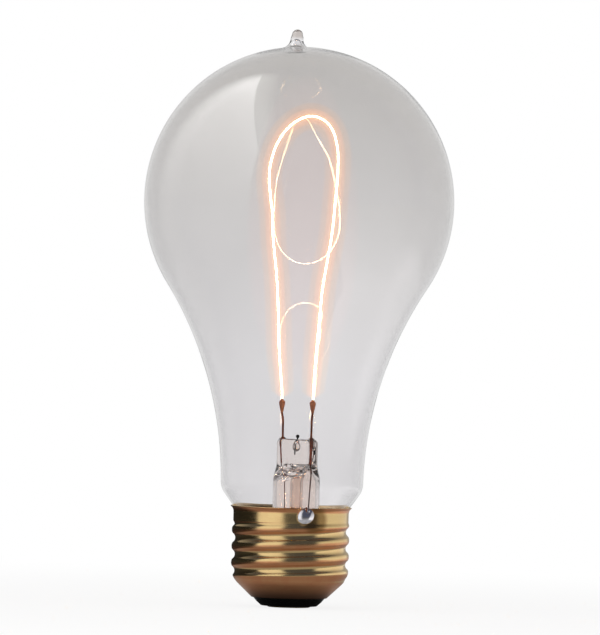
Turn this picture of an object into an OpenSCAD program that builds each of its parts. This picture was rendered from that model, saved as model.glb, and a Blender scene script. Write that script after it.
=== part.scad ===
// Filament bulb with a pear-shaped clear glass envelope, a hairpin filament on a glass stem
// and a screw cap. Millimetres. The origin is the centre of the bottom contact's flat face,
// +Z runs up the bulb's axis to the seal-off tip, and -Y is the side with the soldered lead.

/* [Glass envelope] */
// Height of the globe's crown above the bottom contact
bulb_h = 123.5; // [112:0.5:150]
// Largest diameter of the globe
globe_d = 68.4; // [56:0.1:82]
// Diameter of the neck at its waist
neck_d = 31.4; // [29:0.1:38]
// Height of the waist above the cap's rim
waist_rise = 4.2; // [3.5:0.1:6]
// Thickness of the glass
glass_wall = 0.7; // [0.5:0.05:1]
// Radius of the shoulder below the waist
shoulder_r = 4.5; // [3.5:0.1:5.5]
// Slope of the shoulder from the vertical, in degrees
shoulder_slope = 35.6; // [30:0.1:40]
// Thickness of the cement between the hidden neck and the thread
cement_t = 1.05; // [0.8:0.05:1.4]

/* [Seal-off tip] */
// Diameter of the glass tip
tip_d = 2.8; // [2:0.1:4]
// Height of the tip above the crown
tip_h = 3.8; // [2.5:0.1:6]
// Offset of the tip from the axis, to the left
tip_off = 1.5; // [0:0.1:3]
// Radius of the glass where the tip runs into the globe
tip_fillet_r = 2; // [1.2:0.1:2.6]

/* [Screw cap] */
// Diameter over the thread's crests
thread_d = 26.1; // [25.6:0.05:31.5]
// Height of the cap's rim above the bottom contact
cap_h = 22.1; // [21:0.1:27]
// Pitch of the thread
thread_pitch = 3.629; // [3:0.001:3.9]
// Radius of the thread's crests and roots
thread_arc_r = 1.191; // [1.1:0.001:1.6]
// Thickness of the brass, measured square to the axis
shell_wall = 0.3; // [0.2:0.01:0.4]
// How far the plain collar lies inside the crests
collar_step = 0.15; // [0:0.05:0.4]
// How far the rim flares out past the collar
rim_flare = 0.6; // [0.5:0.05:0.8]
// Diameter of the brass at its lower edge
shell_foot_d = 16.6; // [14:0.1:18]

/* [Bottom contact] */
// Height of the brass's lower edge above the contact
insulator_h = 2.1; // [1.6:0.1:2.8]
// Diameter of the black glass at its lower face
insulator_d = 12.8; // [11:0.1:14]
// Diameter of the bottom contact
contact_d = 9.5; // [8:0.1:10.5]
// How far the contact stands below the black glass
contact_proud = 0.3; // [0.2:0.05:0.6]
// Diameter of the contact's solder hole
contact_hole_d = 2.8; // [2:0.1:3.5]

/* [Stem] */
// Outer diameter of the stem tube
stem_d = 10.3; // [8.6:0.1:10.8]
// Thickness of the stem tube
stem_wall = 0.9; // [0.7:0.05:1.1]
// Height of the press above the rim
press_rise = 15; // [13:0.1:19]
// Width of the flat press
press_w = 10.9; // [10.6:0.1:13]
// Thickness of the flat press
press_t = 3.4; // [3.2:0.1:4.2]
// Height of the flat press
press_h = 6; // [5:0.1:7.5]
// Offset of the stem from the axis, to the right
stem_off = 1; // [0:0.1:1.1]
// Turn of the press and filament about the axis, right side forward, in degrees
mount_turn = 42; // [0:1:60]
// Outer diameter of the exhaust tube
exhaust_d = 2.9; // [2.4:0.1:3]
// Bore of the exhaust tube
exhaust_bore_d = 1.7; // [1.2:0.1:1.9]

/* [Leads] */
// Diameter of the inner leads
inner_lead_d = 0.5; // [0.3:0.05:0.6]
// Diameter of the seal wires
seal_wire_d = 0.4; // [0.3:0.05:0.5]
// Diameter of the outer leads
outer_lead_d = 0.26; // [0.2:0.01:0.26]
// Left lead's distance from the stem's axis at the press
lead_left = 4.4; // [4:0.1:4.5]
// Right lead's distance from the stem's axis at the press
lead_right = 4; // [3.6:0.1:4.4]
// Height of the clamps' tops above the press
clamp_rise = 8.9; // [7:0.1:12]
// Diameter of the clamps at their widest
clamp_d = 1.45; // [1.1:0.05:2]
// Length of the clamps
clamp_len = 3.2; // [2.5:0.1:4]

/* [Filament] */
// Height of the filament above the clamps
filament_h = 62.3; // [50:0.1:68]
// Width of the filament's oval head
filament_w = 20; // [14:0.1:24]
// Diameter of the filament
filament_d = 0.34; // [0.2:0.01:0.5]

/* [Solder and cement] */
// Width of the solder on the collar
solder_w = 3.7; // [2.8:0.1:4.6]
// How far the solder stands off the collar
solder_proud = 1.1; // [0.9:0.05:1.4]
// Offset of the solder from the centre line, to the right
solder_off = 3.2; // [1.5:0.1:5]
// Height of the cement ring
cement_h = 5.4; // [3:0.1:6]

/* [Hidden] */
$fn = 64;

// Clearance of a wire in its glass, and of a piece on its seat
wire_gap = 0.02;
seat_gap = 0.05;

// Degrees turned by each point of a glass arc, and how far a cutting tool runs past its work
arc_step = 3;
overrun = 1;

// Thread: crests and roots are equal arcs that meet tangentially
crest_r = thread_d / 2;
thread_swing = asin(thread_pitch / 4 / thread_arc_r);
root_r = crest_r - 2 * thread_arc_r * (1 - cos(thread_swing));
neck_seal_r = root_r - shell_wall - cement_t;

// Envelope: a globe arc, tangent to a hollow neck arc, then the shoulder
globe_r = globe_d / 2;
globe_z = bulb_h - globe_r;
waist_z = cap_h + waist_rise;
neck_r = neck_d / 2;
globe_to_waist = globe_z - waist_z;
neck_arc_r = (pow(globe_to_waist, 2) + pow(neck_r, 2) - pow(globe_r, 2)) / (2 * (globe_r - neck_r));
neck_arc_x = neck_r + neck_arc_r;
tangent_angle = atan2(globe_to_waist, neck_arc_x);
shoulder_lead_in = 1.2;
shoulder_z = waist_z + shoulder_lead_in;
neck_start_angle = asin(shoulder_lead_in / neck_arc_r);
shoulder_x = neck_arc_x - neck_arc_r * cos(neck_start_angle);
neck_fillet_r = 3;
cone_x = shoulder_x - shoulder_r * (1 - cos(shoulder_slope));
cone_z = shoulder_z - shoulder_r * sin(shoulder_slope);
fillet_x = neck_seal_r + neck_fillet_r;
cone_foot_x = fillet_x - neck_fillet_r * cos(shoulder_slope);
cone_foot_z = cone_z - (cone_x - cone_foot_x) / tan(shoulder_slope);
fillet_z = cone_foot_z - neck_fillet_r * sin(shoulder_slope);
seal_depth = 8.5;
seal_z = cap_h - seal_depth;
flange_t = 0.9;

// Seal-off tip: the fillet turns from the tip's side to the globe and ends inside the glass
tip_r = tip_d / 2;
tip_fillet_turn = 80;
tip_sink = 0.27;

// Stem, press and flare
stem_r = stem_d / 2;
stem_bore_r = stem_r - stem_wall;
press_z = cap_h + press_rise;
press_foot_z = press_z - press_h;
press_overlap = 0.4;
pinch_h = 2.5;
pinch_z = press_foot_z - pinch_h;
ear_h = 0.5;
ear_r = 0.95;
flare_bend_r = 1.6;
flare_r = neck_seal_r - stem_off;
flare_foot_z = seal_z - stem_wall;
flange_margin = 0.1;
flange_bore_r = stem_r + flare_bend_r + stem_off + flange_margin;

// The stem's bore narrows to a slot under the press, and ends above the exhaust port
bore_top_z = press_foot_z - 0.6;
pinch_bore_z = pinch_z - 0.5;
pinch_bore_t = 0.7;
exhaust_r = exhaust_d / 2;
exhaust_top_z = press_foot_z + 0.6;
port_r = 0.65;
port_z = press_foot_z - 0.1;

// Leads: the wires lean inwards through the press and run down inside the stem
outer_lead_r = outer_lead_d / 2;
seal_top_z = press_z - 1.7;
seal_foot_z = press_foot_z + 0.4;
lead_inset = 0.4;
lead_foot = stem_bore_r - lead_inset;
lead_drift = 0.3;
lead_bend_z = press_z + 4.2;
lead_bend_h = 1;

// Clamps, and how far each stands outside its lead
clamp_z = press_z + clamp_rise;
clamp_tip_z = clamp_z - clamp_len;
clamp_left = lead_left + 0.5;
clamp_right = lead_right + 0.2;
clamp_bore_depth = 1.2;
clamp_lip = 0.1;
clamp_crown = 0.25;
clamp_crown_turn = 66;
leg_grip = 0.5;

// Anchor wire in the top of the press
anchor_ball_r = 0.32;
anchor_wire_r = 0.14;
anchor_rise = 0.6;
anchor_depth = 3.5;
anchor_bore_depth = 4;

// Screw cap: a plain collar, which the thread fades into, and a cone with a rounded shoulder
thread_end_z = cap_h - 3.6;
thread_fade_h = 1.2;
thread_fade_drop = 0.7;
thread_top_z = thread_end_z + 0.6;
collar_r = crest_r - collar_step;
rim_r = collar_r + rim_flare;
rim_flare_h = 1.3;
rim_rings = 6;
foot_r = shell_foot_d / 2;
cone_rate = 1.05;
cone_angle = atan(cone_rate);
bell_r = 5.3;
cone_top_r = crest_r - bell_r * (1 - cos(cone_angle));
cone_top_z = insulator_h + (cone_top_r - foot_r) / cone_rate;
bell_z = cone_top_z + bell_r * sin(cone_angle);
bell_blend = 0.3;
thread_phase_z = cone_top_z + 2.7;
shell_sides = 48;
thread_ring = 0.36;

// Bottom contact
contact_r = contact_d / 2;
contact_t = 0.8;
eyelet_r = contact_hole_d / 2;
eyelet_wall = 0.4;
eyelet_h = 1.4;
solder_crown = 0.05;

// Black glass: rounded at the foot, seated in the shell's cone, and dished on top
insulator_round_r = 0.4;
insulator_flank_h = 0.2;
seat_drop = 0.1;
insulator_top_z = cone_top_z + 0.6;
dish_depth = 0.8;
dish_rim_w = 1;
dish_slope_w = 4;
lead_hole_r = 0.6;
exhaust_foot_z = insulator_top_z + 2.6;

// Cement ring, with a notch for the side lead
cement_top_z = cap_h - 1.6;
cement_foot_z = cement_top_z - cement_h;
notch_w = 0.7;

// Left lead below the stem: past the exhaust tube's foot and down into the eyelet
bypass_off = 1.4;
bypass_rise = 0.4;
gather_off = 0.4;
gather_drop = 1.6;
lead_end_z = contact_t - 0.5;

// Right lead below the stem: out under the flare, up beside the neck and over the rim
side_turn_z = flare_foot_z - 0.9;
side_bend = 0.6;
side_wall_r = neck_seal_r + outer_lead_r + 0.12;
side_start_r = neck_seal_r - 4.5;
side_climb_z = cap_h - 3.4;
side_heights = [cap_h - 1.5, cap_h - 0.6, cap_h];
hook_rise = 0.28;
hook_out = 0.2;
hook_drop = 0.8;

// Solder on the collar
solder_angle = -90 + asin(solder_off / collar_r);
solder_z = cap_h - 1.4;
solder_fn = 200;

// Filament outline: shares of half the head's width and of the height
filament_shares = [
    [-0.60, 0.15], [-0.68, 0.32], [-0.76, 0.44], [-0.88, 0.56], [-0.93, 0.66], [-1.00, 0.72],
    [-1.05, 0.79], [-0.96, 0.86], [-0.76, 0.92], [-0.42, 0.97], [-0.05, 0.995], [0.14, 1.00],
    [0.46, 0.99], [0.74, 0.96], [0.93, 0.90], [0.98, 0.81], [0.93, 0.71], [0.86, 0.59],
    [0.73, 0.48], [0.63, 0.40], [0.54, 0.26], [0.47, 0.13]];

function arc(cx, cz, r, from, to) =
    let (n = max(2, ceil(abs(to - from) / arc_step)))
    [for (i = [0:n]) let (a = from + (to - from) * i / n) [cx + r * cos(a), cz + r * sin(a)]];

// A point of the mount: u across the press to the right, v behind it, z up
function in_mount(u, v, z) = [stem_off + u * cos(mount_turn) + v * sin(mount_turn),
                              v * cos(mount_turn) - u * sin(mount_turn), z];
function round_axis(r, a, z) = [r * cos(a), r * sin(a), z];
function mix(a, b, t) = a + (b - a) * t;
function smooth(t) = let (c = min(1, max(0, t))) c * c * (3 - 2 * c);
function unit(v) = v / norm(v);

// A smooth curve through points, with a few steps in each span: the heading at a point is
// that of the chord between its neighbours
function heading(p, i) =
    let (a = p[max(0, i - 1)], b = p[i], c = p[min(len(p) - 1, i + 1)])
    (c - a) / (norm(c - b) + norm(b - a));
function curve(p, steps) =
    let (n = len(p) - 1)
    [for (i = [0:n - 1]) for (k = [0:steps - 1])
        let (t = k / steps, s = 1 - t, h = norm(p[i + 1] - p[i]))
        p[i] * s * s * (1 + 2 * t) + p[i + 1] * t * t * (1 + 2 * s)
            + heading(p, i) * h * t * s * s - heading(p, i + 1) * h * t * t * s,
     p[n]];

// A round wire swept along a path that never runs along the side direction
module wire(path, r, side, sides = 8) {
    n = len(path);
    rings = [for (i = [0:n - 1])
        let (t = unit(path[min(n - 1, i + 1)] - path[max(0, i - 1)]),
             x = unit(cross(t, side)), y = cross(t, x))
        for (k = [0:sides - 1])
            let (a = 360 * k / sides) path[i] + r * cos(a) * x + r * sin(a) * y];
    walls = [for (i = [0:n - 2]) for (k = [0:sides - 1])
        let (a = i * sides + k, b = i * sides + (k + 1) % sides)
        each [[a, b, b + sides], [a, b + sides, a + sides]]];
    caps = [for (k = [1:sides - 2])
        each [[0, k + 1, k], [(n - 1) * sides, (n - 1) * sides + k, (n - 1) * sides + k + 1]]];
    polyhedron(rings, concat(walls, caps));
}

module rod(a, b, r) {
    d = b - a;
    translate(a)
        rotate([0, acos(d.z / norm(d)), atan2(d.y, d.x)])
            cylinder(h = norm(d), r = r);
}

module mount_frame() {
    translate([stem_off, 0, 0]) rotate([0, 0, -mount_turn]) children();
}

// Outline of the glass from the crown down to the foot of the neck, grown by g
function glass_outline(g, foot_z, neck_g) = concat(
    arc(0, globe_z, globe_r + g, 90, -tangent_angle),
    arc(neck_arc_x, waist_z, neck_arc_r - g, 180 - tangent_angle, 180 - neck_start_angle),
    arc(shoulder_x - shoulder_r, shoulder_z, shoulder_r + g, 0, -shoulder_slope),
    arc(fillet_x + neck_g - g, fillet_z, neck_fillet_r - g, 180 - shoulder_slope, 180),
    [[neck_seal_r + neck_g, foot_z], [0, foot_z]]);

module seal_off_tip() {
    root_z = bulb_h - glass_wall / 2;
    fillet_z = bulb_h - tip_sink + tip_fillet_r * sin(tip_fillet_turn);
    translate([-tip_off, 0, 0]) rotate_extrude()
        polygon(concat(
            [[0, root_z], [tip_r + tip_fillet_r * (1 - cos(tip_fillet_turn)), root_z]],
            arc(tip_r + tip_fillet_r, fillet_z, tip_fillet_r, 180 + tip_fillet_turn, 180),
            arc(0, bulb_h + tip_h - tip_r, tip_r, 0, 90)));
}

module glass_envelope() {
    color([0.82, 0.84, 0.85, 0.35]) difference() {
        union() {
            rotate_extrude() polygon(glass_outline(0, seal_z, 0));
            seal_off_tip();
        }
        rotate_extrude() polygon(glass_outline(-glass_wall, seal_z + flange_t, -glass_wall));
        translate([0, 0, seal_z - overrun])
            cylinder(h = flange_t + 2 * overrun, r = flange_bore_r);
    }
}

// Tube with its trumpet foot, as a half section
module stem_section() {
    bend_x = stem_r + flare_bend_r;
    bend_z = seal_z + flare_bend_r;
    polygon(concat(
        [[stem_bore_r, pinch_z], [stem_r, pinch_z]],
        arc(bend_x, bend_z, flare_bend_r, 180, 270),
        [[flare_r - stem_wall / 2, seal_z]],
        arc(flare_r - stem_wall / 2, seal_z - stem_wall / 2, stem_wall / 2, 90, -90),
        arc(bend_x, bend_z, flare_bend_r + stem_wall, 270, 180)));
}

// A tube's end pinched from round to flat: half thickness t at the top
module pinch(r, z0, z1, t) {
    intersection() {
        translate([0, 0, z0]) cylinder(h = z1 - z0, r = r);
        rotate([90, 0, 90]) translate([0, 0, -r])
            linear_extrude(2 * r) polygon([[-r, z0], [r, z0], [t, z1], [-t, z1]]);
    }
}

module press_slab() {
    r = press_t / 2;
    translate([0, 0, press_foot_z - press_overlap])
        linear_extrude(press_h + press_overlap - ear_h) {
            square([press_w - press_t, press_t], center = true);
            for (s = [-1, 1]) translate([s * (press_w / 2 - r), 0]) circle(r);
        }
    for (u = [-lead_left, lead_right]) translate([u, 0, 0]) {
        translate([0, 0, press_z - ear_r]) sphere(ear_r);
        translate([0, 0, press_foot_z]) cylinder(h = press_h - ear_r, r = ear_r);
    }
}

// A lead's distance from the stem's axis at height z: it leans in to the stem's bore
function lead_u(top, z) = mix(top, sign(top) * lead_foot, (press_z - z) / (press_z - bore_top_z));

module lead_bore(top, z0, z1, d) {
    rod([lead_u(top, z0), 0, z0], [lead_u(top, z1), 0, z1], d / 2 + wire_gap);
}

// Hole through the front of the stem into the exhaust tube
module port() {
    translate([0, 0, port_z]) rotate([90, 0, 0]) cylinder(h = stem_r, r = port_r);
}

module stem_tube() {
    color([0.8, 0.83, 0.85, 0.4]) mount_frame() difference() {
        union() {
            rotate_extrude() stem_section();
            pinch(stem_r, pinch_z, press_foot_z, press_t / 2);
            press_slab();
        }
        pinch(stem_bore_r, pinch_bore_z, bore_top_z, pinch_bore_t);
        translate([0, 0, pinch_z - overrun])
            cylinder(h = pinch_bore_z - pinch_z + overrun, r = stem_bore_r);
        translate([0, 0, pinch_bore_z])
            cylinder(h = exhaust_top_z - pinch_bore_z, r = exhaust_r + wire_gap);
        port();
        translate([0, 0, press_z - anchor_bore_depth])
            cylinder(h = anchor_bore_depth + overrun, r = anchor_wire_r + wire_gap);
        for (top = [-lead_left, lead_right]) {
            lead_bore(top, bore_top_z - seat_gap, seal_foot_z, outer_lead_d);
            lead_bore(top, seal_foot_z, seal_top_z, seal_wire_d);
            lead_bore(top, seal_top_z, press_z + overrun, inner_lead_d);
        }
    }
}

module exhaust_tube() {
    color([0.8, 0.84, 0.86, 0.4]) mount_frame() difference() {
        union() {
            translate([0, 0, exhaust_foot_z + exhaust_r])
                cylinder(h = exhaust_top_z - exhaust_foot_z - exhaust_r, r = exhaust_r);
            translate([0, 0, exhaust_foot_z + exhaust_r]) sphere(exhaust_r);
        }
        translate([0, 0, exhaust_foot_z + exhaust_r])
            cylinder(h = exhaust_top_z - exhaust_foot_z, r = exhaust_bore_d / 2);
        port();
    }
}

module anchor_stub() {
    color([0.2, 0.16, 0.15]) mount_frame() {
        translate([0, 0, press_z - anchor_depth])
            cylinder(h = anchor_depth + anchor_rise, r = anchor_wire_r);
        translate([0, 0, press_z + anchor_rise]) sphere(anchor_ball_r);
    }
}

// Lead above the press, with its slight bend, to the clamp
module inner_lead(top, clamp_u) {
    bend_top_z = lead_bend_z + lead_bend_h;
    path = [for (p = [[lead_u(top, seal_top_z), seal_top_z], [lead_u(top, press_z), press_z],
                      [mix(top, clamp_u, 0.2), lead_bend_z], [mix(top, clamp_u, 0.7), bend_top_z],
                      [clamp_u, clamp_tip_z], [clamp_u, clamp_tip_z + clamp_bore_depth]])
            in_mount(p.x, 0, p.y)];
    wire(path, inner_lead_d / 2, in_mount(0, 1, 0) - in_mount(0, 0, 0));
}

module inner_lead_left() { color([0.62, 0.36, 0.25]) inner_lead(-lead_left, -clamp_left); }

module inner_lead_right() { color([0.62, 0.36, 0.25]) inner_lead(lead_right, clamp_right); }

module seal_wire(top) {
    rod(in_mount(lead_u(top, seal_foot_z), 0, seal_foot_z),
        in_mount(lead_u(top, seal_top_z), 0, seal_top_z), seal_wire_d / 2);
}

module seal_wire_left() { color([0.7, 0.25, 0.18]) seal_wire(-lead_left); }

module seal_wire_right() { color([0.7, 0.25, 0.18]) seal_wire(lead_right); }

// The left lead runs down inside the stem to the bottom contact
module outer_lead_centre() {
    path = [in_mount(lead_u(-lead_left, seal_foot_z), 0, seal_foot_z),
            in_mount(-lead_foot, 0, bore_top_z), in_mount(-lead_foot, 0, pinch_bore_z),
            in_mount(-lead_foot + lead_drift, 0, cap_h),
            in_mount(-lead_foot + lead_drift, 0, seal_z),
            [-bypass_off, bypass_off, exhaust_foot_z + bypass_rise],
            [-gather_off, gather_off, exhaust_foot_z - gather_drop],
            [0, 0, insulator_top_z - dish_depth], [0, 0, lead_end_z]];
    color([0.72, 0.42, 0.28]) wire(path, outer_lead_r, [0.6, 0.8, 0]);
}

// Radius midway between the glass shoulder and the inside of the shell
function shoulder_at(z) = max(neck_seal_r, cone_x - (cone_z - z) * tan(shoulder_slope));
function gap_mid(z) = (shoulder_at(z) + plain_r(z) - shell_wall) / 2;

// The right lead runs down the stem, round the seal and up outside the neck to the rim
module outer_lead_side() {
    a = solder_angle;
    down = [in_mount(lead_u(lead_right, seal_foot_z), 0, seal_foot_z),
            in_mount(lead_foot, 0, bore_top_z), in_mount(lead_foot, 0, pinch_bore_z),
            in_mount(lead_foot - lead_drift, 0, cap_h), in_mount(lead_foot - lead_drift, 0, seal_z),
            in_mount(lead_foot - lead_drift, 0, side_turn_z + side_bend)];
    out = [for (p = [[side_start_r, side_turn_z], [side_wall_r - side_bend, side_turn_z],
                     [side_wall_r, side_turn_z + side_bend], [side_wall_r, side_climb_z]])
           round_axis(p.x, a, p.y)];
    up = [for (z = side_heights) round_axis(gap_mid(z), a, z)];
    over = [for (p = [[rim_r - shell_wall / 2, cap_h + hook_rise],
                      [rim_r + hook_out, cap_h + hook_rise / 2], [rim_r, cap_h - hook_drop]])
            round_axis(p.x, a, p.y)];
    color([0.72, 0.42, 0.28])
        wire(concat(down, out, up, over), outer_lead_r, [-sin(a), cos(a), 0]);
}

// Teardrop of carbon paste that joins a lead to a leg of the filament
module filament_clamp(u) {
    r = clamp_d / 2;
    neck = inner_lead_d / 2 + clamp_lip;
    belly_z = clamp_z - r - clamp_crown;
    flank = [mix(neck, r, 0.75), mix(clamp_tip_z, belly_z, 0.6)];
    translate(in_mount(u, 0, 0)) difference() {
        rotate_extrude() polygon(concat(
            [[0, clamp_tip_z], [neck, clamp_tip_z], flank],
            arc(0, belly_z, r, 0, clamp_crown_turn), [[0, clamp_z]]));
        translate([0, 0, clamp_tip_z - overrun])
            cylinder(h = overrun + clamp_bore_depth, r = inner_lead_d / 2 + wire_gap);
        translate([0, 0, clamp_z - clamp_bore_depth])
            cylinder(h = clamp_bore_depth + overrun, r = filament_d / 2 + wire_gap);
    }
}

module filament_clamp_left() { color([0.5, 0.28, 0.2]) filament_clamp(-clamp_left); }

module filament_clamp_right() { color([0.5, 0.28, 0.2]) filament_clamp(clamp_right); }

module filament() {
    head = [for (p = filament_shares) [p.x * filament_w / 2, clamp_z + p.y * filament_h]];
    leg_z = [clamp_z - clamp_bore_depth, clamp_z - leg_grip, clamp_z + leg_grip];
    route = concat([for (z = leg_z) [-clamp_left, z]], head,
                   [for (i = [2:-1:0]) [clamp_right, leg_z[i]]]);
    path = [for (p = curve(route, 3)) in_mount(p.x, 0, p.y)];
    color([1, 0.9, 0.7]) wire(path, filament_d / 2, in_mount(0, 1, 0) - in_mount(0, 0, 0));
}

// Radius of the thread's surface at height z and angle a
function thread_r(z, a) =
    let (half = thread_pitch / 2,
         turns = (z - thread_phase_z) / thread_pitch - a / 360,
         u = abs(turns - round(turns)) * thread_pitch,
         v = half - u)
    u < half / 2 ? crest_r - thread_arc_r + sqrt(pow(thread_arc_r, 2) - u * u)
                 : root_r + thread_arc_r - sqrt(pow(thread_arc_r, 2) - v * v);

// Radius of the plain collar and its flared rim
function plain_r(z) = mix(collar_r, rim_r, smooth((z - cap_h + rim_flare_h) / rim_flare_h));

// Radius of the cone under the thread, rounded into the first crest
function cone_r(z) =
    z <= cone_top_z ? foot_r + cone_rate * (z - insulator_h)
    : z < bell_z ? crest_r - bell_r + sqrt(pow(bell_r, 2) - pow(bell_z - z, 2)) : crest_r;

function soft_min(a, b, k) = min(a, b) - pow(max(k - abs(a - b), 0), 2) / (4 * k);

// Share of the plain collar in the surface at height z
function fade(z) = smooth((z - thread_end_z + thread_fade_drop) / thread_fade_h);

function shell_r(z, a) =
    z >= thread_top_z ? plain_r(z)
    : soft_min(cone_r(z), mix(thread_r(z, a), plain_r(z), fade(z)), bell_blend);

function rim_heights() =
    [for (i = [0:rim_rings]) mix(cap_h - rim_flare_h, cap_h, i / rim_rings)];

// Rolled brass shell: one closed skin, up the outside and down the inside
module screw_shell() {
    thread_rings = ceil((thread_top_z - cone_top_z) / thread_ring);
    heights = concat(
        [insulator_h, cone_top_z],
        [for (i = [1:thread_rings]) mix(cone_top_z, thread_top_z, i / thread_rings)],
        rim_heights());
    n = len(heights);
    points = [for (k = [0:shell_sides - 1]) let (a = 360 * k / shell_sides)
        each concat([for (i = [0:n - 1]) round_axis(shell_r(heights[i], a), a, heights[i])],
                    [for (i = [n - 1:-1:0])
                        round_axis(shell_r(heights[i], a) - shell_wall, a, heights[i])])];
    m = 2 * n;
    skin = [for (k = [0:shell_sides - 1]) for (i = [0:m - 1])
        let (a = k * m, b = ((k + 1) % shell_sides) * m, j = (i + 1) % m)
        each [[a + i, a + j, b + j], [a + i, b + j, b + i]]];
    color([0.83, 0.68, 0.38]) polyhedron(points, skin);
}

module cement_ring() {
    thread_bore_r = root_r - shell_wall - seat_gap;
    collar_bore_r = collar_r - shell_wall - seat_gap;
    color([0.72, 0.66, 0.55]) difference() {
        rotate_extrude() difference() {
            polygon([[neck_seal_r, cement_foot_z], [thread_bore_r, cement_foot_z],
                     [thread_bore_r, thread_top_z - thread_fade_h], [collar_bore_r, thread_top_z],
                     [collar_bore_r, cement_top_z], [neck_seal_r, cement_top_z]]);
            polygon(glass_outline(seat_gap, seal_z, seat_gap));
        }
        rotate([0, 0, solder_angle])
            translate([neck_seal_r - overrun, -notch_w / 2, cement_foot_z - overrun])
                cube([collar_r - neck_seal_r + 2 * overrun, notch_w, cement_h + 2 * overrun]);
    }
}

module insulator() {
    foot_x = insulator_d / 2 - insulator_round_r;
    inner_foot_r = foot_r - shell_wall - seat_gap;
    seat_top_z = cone_top_z - seat_drop;
    seat_top_r = inner_foot_r + cone_rate * (seat_top_z - insulator_h);
    flank = [mix(insulator_d / 2, inner_foot_r, 0.8), insulator_h - insulator_flank_h];
    eyelet_bore_r = eyelet_r + eyelet_wall + seat_gap;
    color([0.08, 0.08, 0.09]) difference() {
        rotate_extrude() polygon(concat(
            [[0, contact_proud]],
            arc(foot_x, contact_proud + insulator_round_r, insulator_round_r, -90, -30),
            [flank, [inner_foot_r, insulator_h],
             [seat_top_r, seat_top_z], [seat_top_r - dish_rim_w, insulator_top_z],
             [seat_top_r - dish_slope_w, insulator_top_z - 0.75 * dish_depth],
             [0, insulator_top_z - dish_depth]]));
        translate([0, 0, -overrun])
            cylinder(h = overrun + contact_t + seat_gap, r = contact_r + seat_gap);
        translate([0, 0, -overrun])
            cylinder(h = overrun + contact_t + eyelet_h + seat_gap, r = eyelet_bore_r);
        cylinder(h = insulator_top_z, r = lead_hole_r);
    }
}

// Flanged brass eyelet pressed into the black glass
module centre_contact() {
    color([0.8, 0.68, 0.42]) difference() {
        union() {
            cylinder(h = contact_t, r = contact_r);
            cylinder(h = contact_t + eyelet_h, r = eyelet_r + eyelet_wall);
        }
        translate([0, 0, -overrun])
            cylinder(h = contact_t + eyelet_h + 2 * overrun, r = eyelet_r);
    }
}

// Solder in the eyelet: a little short of the contact's face, with a bevelled lower edge
module contact_solder() {
    r = eyelet_r - wire_gap;
    bevel = 0.25;
    top_z = contact_t + eyelet_h - 0.8;
    color([0.7, 0.7, 0.72]) difference() {
        rotate_extrude() polygon(
            [[0, solder_crown], [r - bevel, solder_crown], [r, solder_crown + bevel],
             [r, top_z], [0, top_z + bevel]]);
        translate([0, 0, lead_end_z - seat_gap])
            cylinder(h = contact_t + eyelet_h, r = outer_lead_r + wire_gap);
    }
}

// Blob of solder over the rim and down the collar, with the lead's end in it
module side_solder() {
    ball_r = (pow(solder_w / 2, 2) + pow(solder_proud, 2)) / (2 * solder_proud);
    a = solder_angle;
    color([0.75, 0.75, 0.77]) difference() {
        translate(round_axis(collar_r + solder_proud - ball_r, a, solder_z))
            sphere(ball_r, $fn = solder_fn);
        rotate_extrude($fn = solder_fn) polygon(concat(
            [[0, 0], [collar_r + seat_gap, 0]],
            [for (z = rim_heights()) [plain_r(z) + seat_gap, z]],
            [[rim_r + seat_gap, cap_h + ball_r], [0, cap_h + ball_r]]));
        hook = round_axis(rim_r, a, cap_h - hook_drop - wire_gap);
        run = round_axis(rim_r + hook_out, a, cap_h + hook_rise / 2) - hook;
        rod(hook, hook + 1.5 * run, outer_lead_r + wire_gap);
    }
}

glass_envelope();
stem_tube();
exhaust_tube();
anchor_stub();
inner_lead_left();
inner_lead_right();
seal_wire_left();
seal_wire_right();
outer_lead_centre();
outer_lead_side();
filament_clamp_left();
filament_clamp_right();
filament();
screw_shell();
cement_ring();
insulator();
centre_contact();
contact_solder();
side_solder();
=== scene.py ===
"""The looks of a pear-shaped filament bulb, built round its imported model.

Sizes are in millimetres and become metres where they reach a mesh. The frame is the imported
model's: the origin is the centre of the bottom contact, +Z runs up the bulb's axis, +X is the
right of the front view and -Y is the side with the soldered lead.
"""

import logging
import math
from abc import ABC, abstractmethod
from collections.abc import Callable, Sequence
from dataclasses import dataclass
from enum import Enum

import bmesh
import bpy
from mathutils import Matrix, Vector, noise


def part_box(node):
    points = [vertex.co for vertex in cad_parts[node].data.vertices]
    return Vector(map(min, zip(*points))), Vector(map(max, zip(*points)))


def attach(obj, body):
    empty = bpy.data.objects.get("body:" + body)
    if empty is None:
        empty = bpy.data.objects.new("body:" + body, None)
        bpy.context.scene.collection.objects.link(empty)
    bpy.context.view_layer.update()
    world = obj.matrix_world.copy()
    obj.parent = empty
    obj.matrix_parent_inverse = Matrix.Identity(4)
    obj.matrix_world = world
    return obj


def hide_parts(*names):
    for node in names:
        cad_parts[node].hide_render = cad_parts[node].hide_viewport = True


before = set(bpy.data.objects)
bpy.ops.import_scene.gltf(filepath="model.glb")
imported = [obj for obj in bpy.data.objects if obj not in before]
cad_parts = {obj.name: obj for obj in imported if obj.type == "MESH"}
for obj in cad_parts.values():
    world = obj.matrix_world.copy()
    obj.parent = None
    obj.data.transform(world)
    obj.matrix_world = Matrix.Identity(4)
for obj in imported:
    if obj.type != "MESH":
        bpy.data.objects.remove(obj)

MM = 0.001
BODY = "root"
MERGE_M = 2e-7
SHARP = math.radians(40)
LOG = logging.getLogger("bulb")
Flat = tuple[float, float]
Point = tuple[float, float, float]
Colour = tuple[float, float, float, float]

# Sockets of a Mix node: the first two blend numbers, the others colours
NUMBER_A, NUMBER_B, MIX_A, MIX_B = 2, 3, 6, 7


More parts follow.
